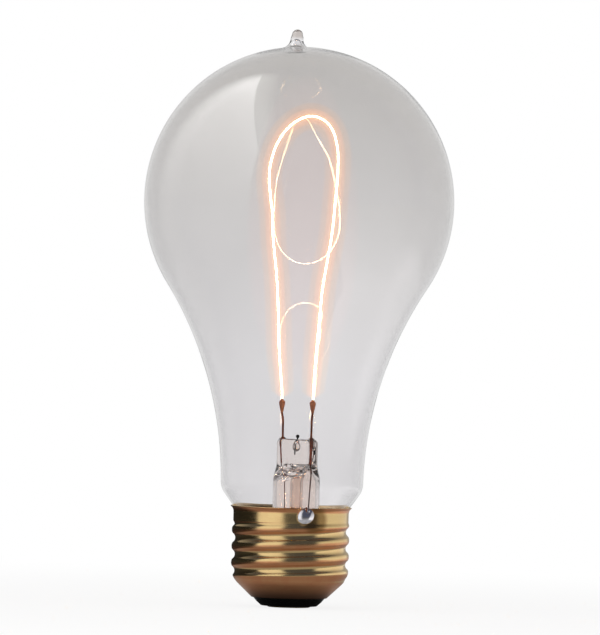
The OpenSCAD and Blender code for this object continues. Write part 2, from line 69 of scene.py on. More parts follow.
def linear(colour: str) -> Colour:
    """Turns an sRGB hex colour into linear RGBA.

    Args:
        colour: The colour as "#RRGGBB".

    Returns:
        The linear colour, with an alpha of 1.
    """
    parts = (int(colour[i:i + 2], 16) / 255 for i in (1, 3, 5))
    return (*(p / 12.92 if p <= 0.04045 else ((p + 0.055) / 1.055) ** 2.4 for p in parts), 1.0)


def mix(a: float, b: float, share: float) -> float:
    """Blends two numbers: a at share 0, b at share 1."""
    return a + (b - a) * share


def smooth(share: float) -> float:
    """Eases a share from 0 to 1 and holds it there outside that range."""
    share = min(1.0, max(0.0, share))
    return share * share * (3 - 2 * share)


def metres(span: Sequence[float]) -> tuple[float, ...]:
    """Turns sizes in millimetres into metres."""
    return tuple(size * MM for size in span)


def arc(centre: Flat, radius: float, start: float, end: float, step: float) -> list[Flat]:
    """Points of an arc in a half section.

    Args:
        centre: The arc's centre, as radius and height.
        radius: The arc's radius.
        start: The angle of its first point, in degrees above the horizontal.
        end: The angle of its last point.
        step: The largest turn between two points.

    Returns:
        The points, both ends included.
    """
    count = max(1, math.ceil(abs(end - start) / step))
    angles = (math.radians(mix(start, end, i / count)) for i in range(count + 1))
    return [(centre[0] + radius * math.cos(a), centre[1] + radius * math.sin(a)) for a in angles]


def box_mm(node: str) -> tuple[Vector, Vector]:
    """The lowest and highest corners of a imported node, in millimetres."""
    low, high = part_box(node)
    return low / MM, high / MM


# Finishes


def feed(node: bpy.types.Node, sockets: Sequence | dict) -> None:
    """Sets a node's inputs or links them.

    Args:
        node: The node.
        sockets: Its inputs in order, or by name or number. Each is a value, the output that
            feeds it, or a node, whose first output in use feeds it.
    """
    for key, value in sockets.items() if isinstance(sockets, dict) else enumerate(sockets):
        if isinstance(value, bpy.types.Node):
            value = next(output for output in value.outputs if output.enabled)
        if isinstance(value, bpy.types.NodeSocket):
            node.id_data.links.new(value, node.inputs[key])
        else:
            node.inputs[key].default_value = value


def add_node(
    tree: bpy.types.NodeTree, kind: str, sockets: Sequence | dict = (), **settings: object
) -> bpy.types.Node:
    """Adds a node to a tree.

    Args:
        tree: The node tree.
        kind: The shader node's type, such as "MixShader".
        sockets: Its inputs, as feed takes them.
        **settings: The node's own settings.

    Returns:
        The new node.
    """
    node = tree.nodes.new(f"ShaderNode{kind}")
    for name, value in settings.items():
        setattr(node, name, value)
    feed(node, sockets)
    return node


@dataclass(frozen=True)
class Finish(ABC):
    """A surface finish: one procedural material, named for the real one."""

    name: str

    def material(self) -> bpy.types.Material:
        """Builds the material.

        Returns:
            The new material, with its nodes set.
        """
        material = bpy.data.materials.new(self.name)
        material.use_nodes = True
        tree = material.node_tree
        self.dress(tree, tree.nodes["Principled BSDF"])
        return material

    @abstractmethod
    def dress(self, tree: bpy.types.NodeTree, shader: bpy.types.Node) -> None:
        """Sets the shader and adds the nodes that feed it.

        Args:
            tree: The material's node tree.
            shader: Its Principled node.
        """


@dataclass(frozen=True)
class ClearGlass(Finish):
    """Clear glass: it bends light, mirrors a little of it and lets the lamps through."""

    tint: str = "#F1F0F1"
    ior: float = 1.5

    def wall_tint(self, tree: bpy.types.NodeTree) -> Colour | bpy.types.Node:
        """What one wall leaves of white: here the same all over."""
        return linear(self.tint)

    def dress(self, tree: bpy.types.NodeTree, shader: bpy.types.Node) -> None:
        """Sets the glass, its tint and the way for the lamps' light.

        Args:
            tree: The material's node tree.
            shader: Its Principled node.
        """
        tint = self.wall_tint(tree)
        feed(shader, {"Base Color": tint, "Roughness": 0.0, "IOR": self.ior,
                      "Transmission Weight": 1.0})
        path = add_node(tree, "LightPath").outputs
        clear = add_node(tree, "BsdfTransparent", (tint,))
        both = add_node(tree, "MixShader", (path["Is Shadow Ray"], shader, clear))
        feed(tree.nodes["Material Output"], {"Surface": both})


@dataclass(frozen=True)
class SmokedGlass(ClearGlass):
    """The globe's glass. Carbon that leaves the filament darkens its crown first, but doesn't
    reach the hollow foot of the tip. The tip's end is solid, so it takes more from the light.
    The film's heights are the bulb's, the other two are heights over the crown."""

    smoky: str = "#E2E0DE"
    solid: str = "#CAC3BF"
    crown_z: float = 123.5
    film_z: Flat = (50.0, 122.0)
    clear_h: Flat = (-0.3, 0.7)
    solid_h: Flat = (1.4, 2.2)

    def wall_tint(self, tree: bpy.types.NodeTree) -> bpy.types.Node:
        """What one wall leaves of white, by its height on the bulb.

        Args:
            tree: The material's node tree.

        Returns:
            A node that gives the tint.
        """
        place = add_node(tree, "TexCoord").outputs["Object"]
        z = add_node(tree, "SeparateXYZ", (place,)).outputs["Z"]
        clear_z, solid_z = (metres([self.crown_z + h for h in span])
                            for span in (self.clear_h, self.solid_h))
        height = add_node(tree, "MapRange", (z, *metres(self.film_z)))
        inside = add_node(tree, "MapRange", (z, *clear_z, 1.0, 0.0))
        film = add_node(tree, "Math", (height, inside), operation="MULTIPLY")
        wall = add_node(tree, "Mix", {
            0: film, MIX_A: linear(self.tint), MIX_B: linear(self.smoky),
        }, data_type="RGBA")
        thick = add_node(tree, "MapRange", (z, *solid_z))
        return add_node(tree, "Mix", {
            0: thick, MIX_A: wall, MIX_B: linear(self.solid),
        }, data_type="RGBA")


@dataclass(frozen=True)
class RolledBrass(Finish):
    """Yellow brass rolled from thin strip: fine marks run round it, and it tarnishes brown in
    blotches where it is handled. The same brown is painted reflection on all that looks down,
    the cone with it, and on the thread's crests and the flared rim."""

    clean: str = "#DFC189"
    # Brown of the tarnished blotches, and of the painted reflection where the brass looks down
    brown_tarnish_and_reflection: str = "#C4865E"
    stain: str = "#7A5A30"
    # Painted shade towards the cone's foot: its colour, and below its heights and strength
    foot_shade_colour: str = "#9A7A6C"
    # Where the painted reflection falls: by radius towards the crests and rim, and by how far a
    # surface looks down
    thread_r: Flat = (12.21, 13.05)
    crest_r: Flat = (12.94, 13.0)
    crest_shift: Flat = (-0.45, -0.3)
    down: Flat = (-0.3, -0.6)
    down_reflection_share: float = 0.92
    blotch_mm: float = 3.0
    blotch_range: Flat = (0.45, 0.8)
    blotch_brown: float = 0.22
    foot_shade_heights: Flat = (4.6, 1.8)
    foot_shade_strength: float = 0.6
    stain_at: Point = (0.0, 0.0, 0.0)
    stain_mm: Flat = (3.75, 2.1)
    stain_share: float = 0.8
    mark_mm: float = 0.22
    mark_depth_mm: float = 0.02
    mark_strength: float = 0.12
    mark_range: Flat = (0.3, 0.7)
    mark_stretch: float = 0.05
    roughness: Flat = (0.15, 0.25)
    brown_roughness: float = 0.14

    def reflection_and_tarnish_mask(self, tree: bpy.types.NodeTree, place: bpy.types.NodeSocket) -> bpy.types.Node:
        """How brown the brass is: painted reflection where it looks down, near the crests and on
        the flared rim, and tarnished blotches.

        Args:
            tree: The material's node tree.
            place: The point on the piece.

        Returns:
            A node that gives 0 for clean and 1 for brown.
        """
        normal = add_node(tree, "NewGeometry").outputs["Normal"]
        facing = add_node(tree, "SeparateXYZ", (normal,)).outputs["Z"]
        level = add_node(tree, "VectorMath", (place, (1, 1, 0)), operation="MULTIPLY")
        out = add_node(tree, "VectorMath", (level,), operation="LENGTH")
        flank, crest = (
            add_node(tree, "MapRange", (out, *metres(span), 0.0, wipe))
            for span, wipe in zip((self.thread_r, self.crest_r), self.crest_shift))
        toward_crest = add_node(tree, "Math", (flank, crest), operation="ADD")
        under = add_node(tree, "Math", (facing, toward_crest), operation="ADD")
        # Painted reflection: brown on surfaces that look down, near the thread's crests and on the
        # flared rim
        painted_reflection = add_node(tree, "MapRange", (under, *self.down, 0.0, self.down_reflection_share),
                          interpolation_type="SMOOTHSTEP")
        blotches = add_node(tree, "TexNoise", {
            "Vector": place, "Scale": 1 / (self.blotch_mm * MM), "Detail": 5.0, "Roughness": 0.6,
        })
        worn = add_node(tree, "MapRange", (blotches, *self.blotch_range, 0.0,
                                           self.blotch_brown))
        return add_node(tree, "Math", (painted_reflection, worn), operation="ADD", use_clamp=True)

    def dress(self, tree: bpy.types.NodeTree, shader: bpy.types.Node) -> None:
        """Sets the metal, its tarnished blotches, its painted reflection and the painted shade at
        the cone's foot, its roll marks and the heat stain by the solder.

        Args:
            tree: The material's node tree.
            shader: Its Principled node.
        """
        place = add_node(tree, "TexCoord").outputs["Object"]
        z = add_node(tree, "SeparateXYZ", (place,)).outputs["Z"]
        brown = self.reflection_and_tarnish_mask(tree, place)
        # Painted shade: the brass darkens and greys towards the cone's foot, where the table under
        # the cap lies in shadow
        foot_shading = add_node(tree, "MapRange", (z, *metres(self.foot_shade_heights), 0.0, self.foot_shade_strength),
                         interpolation_type="SMOOTHSTEP")
        reach = add_node(tree, "VectorMath", (place, metres(self.stain_at)),
                         operation="DISTANCE")
        heat = add_node(tree, "MapRange", (reach, *metres(self.stain_mm), 0.0, self.stain_share),
                        interpolation_type="SMOOTHSTEP")
        colour = linear(self.clean)
        for share, over in ((brown, self.brown_tarnish_and_reflection), (foot_shading, self.foot_shade_colour), (heat, self.stain)):
            colour = add_node(tree, "Mix", {
                0: share, MIX_A: colour, MIX_B: linear(over),
            }, data_type="RGBA")
        # Real roll marks are some 0.02 mm apart, too fine to show here, so they are drawn coarser
        drawn = add_node(tree, "Mapping", {
            "Vector": place, "Scale": (self.mark_stretch, self.mark_stretch, 1.0),
        })
        marks = add_node(tree, "TexNoise", {
            "Vector": drawn, "Scale": 1 / (self.mark_mm * MM), "Detail": 3.0,
        })
        rough = add_node(tree, "MapRange", (marks, *self.mark_range, *self.roughness))
        rougher = add_node(tree, "Math", (brown, self.brown_roughness, rough),
                           operation="MULTIPLY_ADD")
        bump = add_node(tree, "Bump", {
            "Strength": self.mark_strength, "Distance": self.mark_depth_mm * MM, "Height": marks,
        })
        feed(shader, {"Metallic": 1.0, "Base Color": colour, "Roughness": rougher,
                      "Normal": bump})


@dataclass(frozen=True)
class Mottled(Finish):
    """A surface of two close colours in blotches with fine grain: oxidised wire, solder,
    black glass, baked paste and cement, which differ in colours, scale and gloss.

    The real grain of wire and paste is some hundredths of a millimetre and is drawn coarser,
    at grain_mm, so that it shows.
    """

    first: str
    second: str
    blotch_mm: float
    grain_mm: float
    grain_depth_mm: float
    roughness: Flat
    metallic: float = 0.0
    spread: Flat = (0.35, 0.65)
    grain_strength: float = 0.6

    def dress(self, tree: bpy.types.NodeTree, shader: bpy.types.Node) -> None:
        """Sets the two colours, the gloss and the grain.

        Args:
            tree: The material's node tree.
            shader: Its Principled node.
        """
        place = add_node(tree, "TexCoord").outputs["Object"]
        blotches = add_node(tree, "TexNoise", {
            "Vector": place, "Scale": 1 / (self.blotch_mm * MM), "Detail": 4.0, "Roughness": 0.55,
        })
        spread = add_node(tree, "MapRange", (blotches, *self.spread))
        colour = add_node(tree, "Mix", {
            0: spread, MIX_A: linear(self.first), MIX_B: linear(self.second),
        }, data_type="RGBA")
        rough = add_node(tree, "MapRange", (spread, 0.0, 1.0, *self.roughness))
        grain = add_node(tree, "TexNoise", {
            "Vector": place, "Scale": 1 / (self.grain_mm * MM), "Detail": 2.0,
        })
        bump = add_node(tree, "Bump", {
            "Strength": self.grain_strength, "Distance": self.grain_depth_mm * MM, "Height": grain,
        })
        feed(shader, {"Metallic": self.metallic, "Base Color": colour, "Roughness": rough,
                      "Normal": bump})


@dataclass(frozen=True)
class GlowingCarbon(Finish):
    """Carbonised thread at white heat: matt black by itself, and lost in its own light. It
    glows less where the clamps cool it."""

    carbon: str = "#1A1512"
    light: str = "#FFD6AC"
    strength: Flat = (4.5, 30.0)
    cooled_z: Flat = (46.0, 54.0)
    roughness: float = 0.7

    def dress(self, tree: bpy.types.NodeTree, shader: bpy.types.Node) -> None:
        """Sets the carbon and its light, which fades into the clamps.

        Args:
            tree: The material's node tree.
            shader: Its Principled node.
        """
        place = add_node(tree, "TexCoord").outputs["Object"]
        z = add_node(tree, "SeparateXYZ", (place,)).outputs["Z"]
        glow = add_node(tree, "MapRange", (z, *metres(self.cooled_z), *self.strength))
        feed(shader, {"Base Color": linear(self.carbon), "Roughness": self.roughness,
                      "Emission Color": linear(self.light), "Emission Strength": glow})


@dataclass(frozen=True)
class Glow(Finish):
    """Light that hangs in the air, and takes some of the blue out of what is behind it."""

    light: Point
    yellow: float = 0.0

    def dress(self, tree: bpy.types.NodeTree, shader: bpy.types.Node) -> None:
        """Fills the shape with light and leaves its surface unseen.

        Args:
            tree: The material's node tree.
            shader: Its Principled node.
        """
        tree.nodes.remove(shader)
        strength = max(self.light)
        light = add_node(tree, "Emission", {
            "Color": (*(part / strength for part in self.light), 1), "Strength": strength,
        })
        veil = add_node(tree, "VolumeAbsorption", {
            "Color": (1, 1, 0, 1), "Density": self.yellow,
        })
        both = add_node(tree, "AddShader", (light, veil))
        feed(tree.nodes["Material Output"], {"Volume": both})


# The workshop: each way of making a piece


def select_nothing() -> None:
    """Leaves edit mode and deselects everything."""
    if bpy.context.mode != "OBJECT":
        bpy.ops.object.mode_set(mode="OBJECT")
    bpy.ops.object.select_all(action="DESELECT")


def take(name: str) -> bpy.types.Object:
    """Names the active object, which was just added, and puts its place in its mesh.

    Args:
        name: The piece's name.

    Returns:
        The active object.
    """
    piece = bpy.context.active_object
    piece.name = piece.data.name = name
    bpy.ops.object.transform_apply(location=True, rotation=True, scale=True)
    return piece


def close_up() -> None:
    """Merges the edited mesh's doubles, turns its faces outwards and smooths its shading."""
    bpy.ops.mesh.select_all(action="SELECT")
    bpy.ops.mesh.remove_doubles(threshold=MERGE_M)
    bpy.ops.mesh.normals_make_consistent(inside=False)
    bpy.ops.object.mode_set(mode="OBJECT")
    bpy.ops.object.shade_smooth_by_angle(angle=SHARP)


def ball(name: str, segments: int, rings: int, turned: Point = (0, 0, 0)) -> bpy.types.Object:
    """Adds a ball of 1 mm radius, to be shaped by its vertices.

    Args:
        name: The piece's name.
        segments: The number of faces round it.
        rings: The number of faces from pole to pole.
        turned: Its rotation, which says where its poles are.

    Returns:
        The ball.
    """
    select_nothing()
    bpy.ops.mesh.primitive_uv_sphere_add(segments=segments, ring_count=rings, radius=MM,
                                         rotation=turned)
    return take(name)


def turn(name: str, profile: Sequence[Flat], steps: int, ring: bool = False) -> bpy.types.Object:
    """Turns a piece on the lathe: draws half its section and spins it round the Z axis.

    Args:
        name: The piece's name.
        profile: The section's points, as radius and height.
        steps: The number of faces round the axis.
        ring: True if the section is a loop that stays clear of the axis.

    Returns:
        The piece.
    """
    select_nothing()
    (r, z), rest = profile[0], profile[1:]
    bpy.ops.mesh.primitive_plane_add(size=MM, location=(r * MM, 0, z * MM))
    piece = take(name)
    bpy.ops.object.mode_set(mode="EDIT")
    bpy.ops.mesh.merge(type="CENTER")
    for next_r, next_z in rest:
        move = ((next_r - r) * MM, 0, (next_z - z) * MM)
        bpy.ops.mesh.extrude_vertices_move(TRANSFORM_OT_translate={"value": move})
        r, z = next_r, next_z
    if ring:
        mesh = bmesh.from_edit_mesh(piece.data)
        mesh.verts.ensure_lookup_table()
        mesh.verts[0].select_set(True)
        mesh.verts[len(profile) - 1].select_set(True)
        bpy.ops.mesh.edge_face_add()
    bpy.ops.mesh.select_all(action="SELECT")
    bpy.ops.mesh.spin(steps=steps, angle=math.tau, center=(0, 0, 0), axis=(0, 0, 1))
    close_up()
    return piece


def sweep(
    name: str, points: Sequence[Point], radius: float, steps: int = 6,
    swell: Sequence[float] | None = None,
) -> bpy.types.Object:
    """Draws a wire: a tube of 12 sides on a smooth curve through the points.

    Args:
        name: The piece's name.
        points: The points of its centreline.
        radius: The wire's radius.
        steps: Rings from one point to the next.
        swell: For each point, the share of the radius that it has there.

    Returns:
        The piece, as a closed mesh.
    """
    select_nothing()
    bpy.ops.curve.primitive_bezier_curve_add()
    wire = take(name)
    curve = wire.data
    curve.dimensions = "3D"
    curve.resolution_u = steps
    curve.bevel_depth = radius * MM
    curve.bevel_resolution = 4
    curve.use_fill_caps = True
    knots = curve.splines[0].bezier_points
    knots.add(len(points) - len(knots))
    for i, (knot, point) in enumerate(zip(knots, points)):
        knot.co = Vector(point) * MM
        knot.handle_left_type = knot.handle_right_type = "AUTO"
        knot.radius = swell[i] if swell else 1.0
    bpy.ops.object.convert(target="MESH")
    bpy.ops.object.mode_set(mode="EDIT")
    close_up()
    return wire


@dataclass(frozen=True)
class Section:
    """A cross-section of a drawn or pinched tube: a rounded rectangle at one height."""

    half_u: float
    half_v: float
    corner: float
    z: float

    def outline(self, count: int) -> list[Point]:
        """Points spaced evenly round the section, from the middle of its right side.

        Args:
            count: The number of points.

        Returns:
            The points, in the tube's own frame.
        """
        a, b = self.half_u - self.corner, self.half_v - self.corner
        bend = math.pi / 2 * self.corner
        corners = [(a, b, 0), (-a, b, 90), (-a, -b, 180), (a, -b, 270)]
        sides = [b, 2 * a, 2 * b, 2 * a, b]
        around = sum(sides) + 4 * bend
        points = []
        for i in range(count):
            left = around * (i + 0.5) / count
            for side, (u, v, start) in zip(sides, [*corners, corners[0]]):
                angle = math.radians(start)
                if left <= side:
                    back = side - left
                    u += self.corner * math.cos(angle) + back * math.sin(angle)
                    v += self.corner * math.sin(angle) - back * math.cos(angle)
                    break
                left -= side
                if left <= bend:
                    angle += left / self.corner
                    u += self.corner * math.cos(angle)
                    v += self.corner * math.sin(angle)
                    break
                left -= bend
            points.append((u, v, self.z))
        return points


def draw_out(name: str, sections: Sequence[Section], count: int) -> bpy.types.Object:
    """Draws a closed piece from section to section, as glass is drawn and pinched.

    Args:
        name: The piece's name.
        sections: Its cross-sections in order. The first and the last are filled.
        count: The number of faces round it.

    Returns:
        The piece.
    """
    select_nothing()
    bpy.ops.mesh.primitive_circle_add(vertices=count, radius=sections[0].half_u * MM,
                                      fill_type="NGON")
    piece = take(name)
    bpy.ops.object.mode_set(mode="EDIT")
    bpy.ops.mesh.select_mode(type="VERT")
    for i, section in enumerate(sections):
        if i > 0:
            bpy.ops.mesh.extrude_region_move(TRANSFORM_OT_translate={"value": (0, 0, MM)})
        mesh = bmesh.from_edit_mesh(piece.data)
        ring = [v for v in mesh.verts if v.select]
        ring.sort(key=lambda v: math.atan2(v.co.y, v.co.x) % math.tau)
        for vertex, point in zip(ring, section.outline(count)):
            vertex.co = Vector(point) * MM
        bmesh.update_edit_mesh(piece.data)
    close_up()
    return piece


def move_vertices(piece: bpy.types.Object, place: Callable[[Vector, Vector], Vector]) -> None:
    """Shapes a mesh by hand: moves each of its vertices.

    Args:
        piece: The piece.
        place: Gives a vertex's new place from its place and normal, in millimetres.
    """
    mesh = piece.data
    moved = [place(v.co / MM, v.normal.copy()) * MM for v in mesh.vertices]
    for vertex, co in zip(mesh.vertices, moved):
        vertex.co = co
    mesh.update()


def modify(piece: bpy.types.Object, kind: str, **settings: object) -> None:
    """Adds a modifier to a piece and applies it.

    Args:
        piece: The piece.
        kind: The modifier's type.
        **settings: Its settings.
    """
    select_nothing()
    piece.select_set(True)
    bpy.context.view_layer.objects.active = piece
    bpy.ops.object.modifier_add(type=kind)
    modifier = piece.modifiers[-1]
    for name, value in settings.items():
        setattr(modifier, name, value)
    bpy.ops.object.modifier_apply(modifier=modifier.name)


class Cut(Enum):
    """What a tool does to a piece."""

    AWAY = "DIFFERENCE"
    JOIN = "UNION"


def combine(piece: bpy.types.Object, tool: bpy.types.Object, cut: Cut) -> None:
    """Joins a tool to a piece or cuts it away, and discards the tool.

    Args:
        piece: The piece.
        tool: The other mesh.
        cut: What the tool does.
    """
    modify(piece, "BOOLEAN", operation=cut.value, object=tool, solver="EXACT")
    bpy.data.objects.remove(tool)


def finish_piece(piece: bpy.types.Object, node: str, finish: Finish) -> None:
    """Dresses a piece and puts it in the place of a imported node.

    Args:
        piece: The piece.
        node: The node that it stands for.
        finish: Its finish.
    """
    piece.data.materials.clear()
    piece.data.materials.append(finish.material())
    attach(piece, BODY)
    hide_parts(node)
    LOG.info("%s stands for %s: %d faces", piece.name, node, len(piece.data.polygons))


# The bulb's sub-assemblies


@dataclass
class Envelope:
    """The blown globe and neck, with the tip where it was sealed off the pump."""

    globe_d: float
    crown_z: float
    seal_z: float
    neck_d: float = 31.4
    waist_z: float = 26.3
    wall: float = 0.7
    shoulder_r: float = 4.5
    shoulder_slope: float = 35.6
    shoulder_lead_in: float = 1.2
    seal_r: float = 10.86
    fillet_r: float = 3.0
    flange_t: float = 0.9
    flange_bore_r: float = 7.85
    tip_off: float = 1.5
    tip_r: float = 1.4
    tip_h: float = 3.8
    tip_fillet_r: float = 2.0
    tip_fillet_turn: float = 80.0
    tip_sink: float = 0.27
    tip_waist_h: float = 2.1
    tip_nose: float = 0.86
    tip_lean: float = 0.18
    # The hollow under the tip: radius and height over the crown, and the ball that ends it
    funnel_wall: tuple[Flat, ...] = ((0, -1.3), (2.9, -1.3), (2.5, -0.85), (1.9, -0.5),
                                     (1.35, -0.1), (1.02, 0.4))
    funnel_end_r: float = 0.7
    funnel_end_h: float = 0.9
    # The glass's waves: their depth, how deep on average and how much it swings, their size,
    # the ripples on them, and how far from the waist and the crown they set in
    wave: float = 0.02
    wave_swing: Flat = (0.7, 0.5)
    wave_size: float = 15.0
    ripple: float = 0.2
    ripple_rate: float = 2.3
    calm: Flat = (12.0, 3.0)
    steps: int = 176

    @classmethod
    def from_frame(cls) -> "Envelope":
        """Takes the globe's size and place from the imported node."""
        low, high = box_mm("glass_envelope")
        return cls(globe_d=high.x - low.x, crown_z=high.z - cls.tip_h, seal_z=low.z)

    def outline(self, inward: float, foot_z: float) -> list[Flat]:
        """Half the outline of the glass, from the crown down to its foot.

        Args:
            inward: How far inside the outer surface it lies.
            foot_z: The height of its lowest point.

        Returns:
            The outline's points.
        """
        r, neck_r = self.globe_d / 2, self.neck_d / 2
        globe_z = self.crown_z - r
        rise = globe_z - self.waist_z
        neck_arc_r = (rise ** 2 + neck_r ** 2 - r ** 2) / (2 * (r - neck_r))
        neck_arc_x = neck_r + neck_arc_r
        tangent = math.degrees(math.atan2(rise, neck_arc_x))
        start = math.degrees(math.asin(self.shoulder_lead_in / neck_arc_r))
        shoulder_x = neck_arc_x - neck_arc_r * math.cos(math.radians(start))
        shoulder_z = self.waist_z + self.shoulder_lead_in
        slope = math.radians(self.shoulder_slope)
        cone_x = shoulder_x - self.shoulder_r * (1 - math.cos(slope))
        cone_z = shoulder_z - self.shoulder_r * math.sin(slope)
        fillet_x = self.seal_r + self.fillet_r
        cone_foot_x = fillet_x - self.fillet_r * math.cos(slope)
        cone_foot_z = cone_z - (cone_x - cone_foot_x) / math.tan(slope)
        fillet_z = cone_foot_z - self.fillet_r * math.sin(slope)
        return [
            *arc((0, globe_z), r - inward, 90, -tangent, 1.25),
            *arc((neck_arc_x, self.waist_z), neck_arc_r + inward, 180 - tangent, 180 - start,
                 0.6)[1:],
            *arc((shoulder_x - self.shoulder_r, shoulder_z), self.shoulder_r - inward, 0,
                 -self.shoulder_slope, 4)[1:],
            *arc((fillet_x, fillet_z), self.fillet_r + inward, 180 - self.shoulder_slope, 180, 4),
            (self.seal_r - inward, foot_z),
        ]

    def blow(self, place: Vector, normal: Vector) -> Vector:
        """Gives the glass the slight waves of blown work, inwards from its outline.

        Args:
            place: A point of the glass.
            normal: Its normal.

        Returns:
            The point's new place.
        """
        swell = noise.noise(place / self.wave_size)
        swell += self.ripple * noise.noise(place / self.wave_size * self.ripple_rate)
        mean, swing = self.wave_swing
        fade = (smooth((place.z - self.waist_z) / self.calm[0])
                * smooth((self.crown_z - place.z) / self.calm[1]))
        return place - normal * self.wave * (mean + swing * swell) * fade

    def lean(self, place: Vector, normal: Vector) -> Vector:
        """Moves a point of the tip to its place beside the axis, and leans it to the right."""
        leant = self.tip_lean * smooth((place.z - self.crown_z) / self.tip_h)
        return place + Vector((leant - self.tip_off, 0, 0))

    def tip(self) -> bpy.types.Object:
        """Draws the seal-off tip: a solid nib with a fillet into the globe.

        Returns:
            The nib.
        """
        turned = math.radians(self.tip_fillet_turn)
        fillet = (self.tip_r + self.tip_fillet_r,
                  self.crown_z - self.tip_sink + self.tip_fillet_r * math.sin(turned))
        foot_r = self.tip_r + self.tip_fillet_r * (1 - math.cos(turned))
        root_z, top_z = self.crown_z - self.wall / 2, self.crown_z + self.tip_h
        nose_r = self.tip_r * self.tip_nose
        profile = [
            (0, root_z), (foot_r, root_z),
            *arc(fillet, self.tip_fillet_r, 180 + self.tip_fillet_turn, 186, 6),
            (self.tip_r * 0.97, self.crown_z + self.tip_waist_h),
            (nose_r * 1.02, top_z - nose_r - 0.15), *arc((0, top_z - nose_r), nose_r, 4, 90, 8),
        ]
        nib = turn("tip", profile, 48)
        move_vertices(nib, self.lean)
        return nib

    def funnel(self) -> bpy.types.Object:
        """Draws the hollow that runs up into the tip, which is a tube melted shut.

        Returns:
            The hollow, to be cut away.
        """
        wall = [(r, self.crown_z + z) for r, z in self.funnel_wall]
        end = arc((0, self.crown_z + self.funnel_end_h), self.funnel_end_r, 0, 90, 15)
        hollow = turn("funnel", [*wall, *end], 48)
        move_vertices(hollow, self.lean)
        return hollow

    def build(self) -> None:
        """Builds the envelope: both faces of the wall, the flange at the seal and the tip."""
        outer = self.outline(0, self.seal_z)
        inner = self.outline(self.wall, self.seal_z + self.flange_t)
        flange = [(self.flange_bore_r, self.seal_z), (self.flange_bore_r, inner[-1][1])]
        glass = turn("blown_globe", [*outer, *flange, *reversed(inner)], self.steps)
        move_vertices(glass, self.blow)
        combine(glass, self.tip(), Cut.JOIN)
        combine(glass, self.funnel(), Cut.AWAY)
        bpy.ops.object.shade_smooth_by_angle(angle=SHARP)
        # Blown and fire-polished: no marks, only slow waves, and grey where carbon settled
        finish_piece(glass, "glass_envelope",
                     SmokedGlass("blown soda-lime glass", crown_z=self.crown_z))


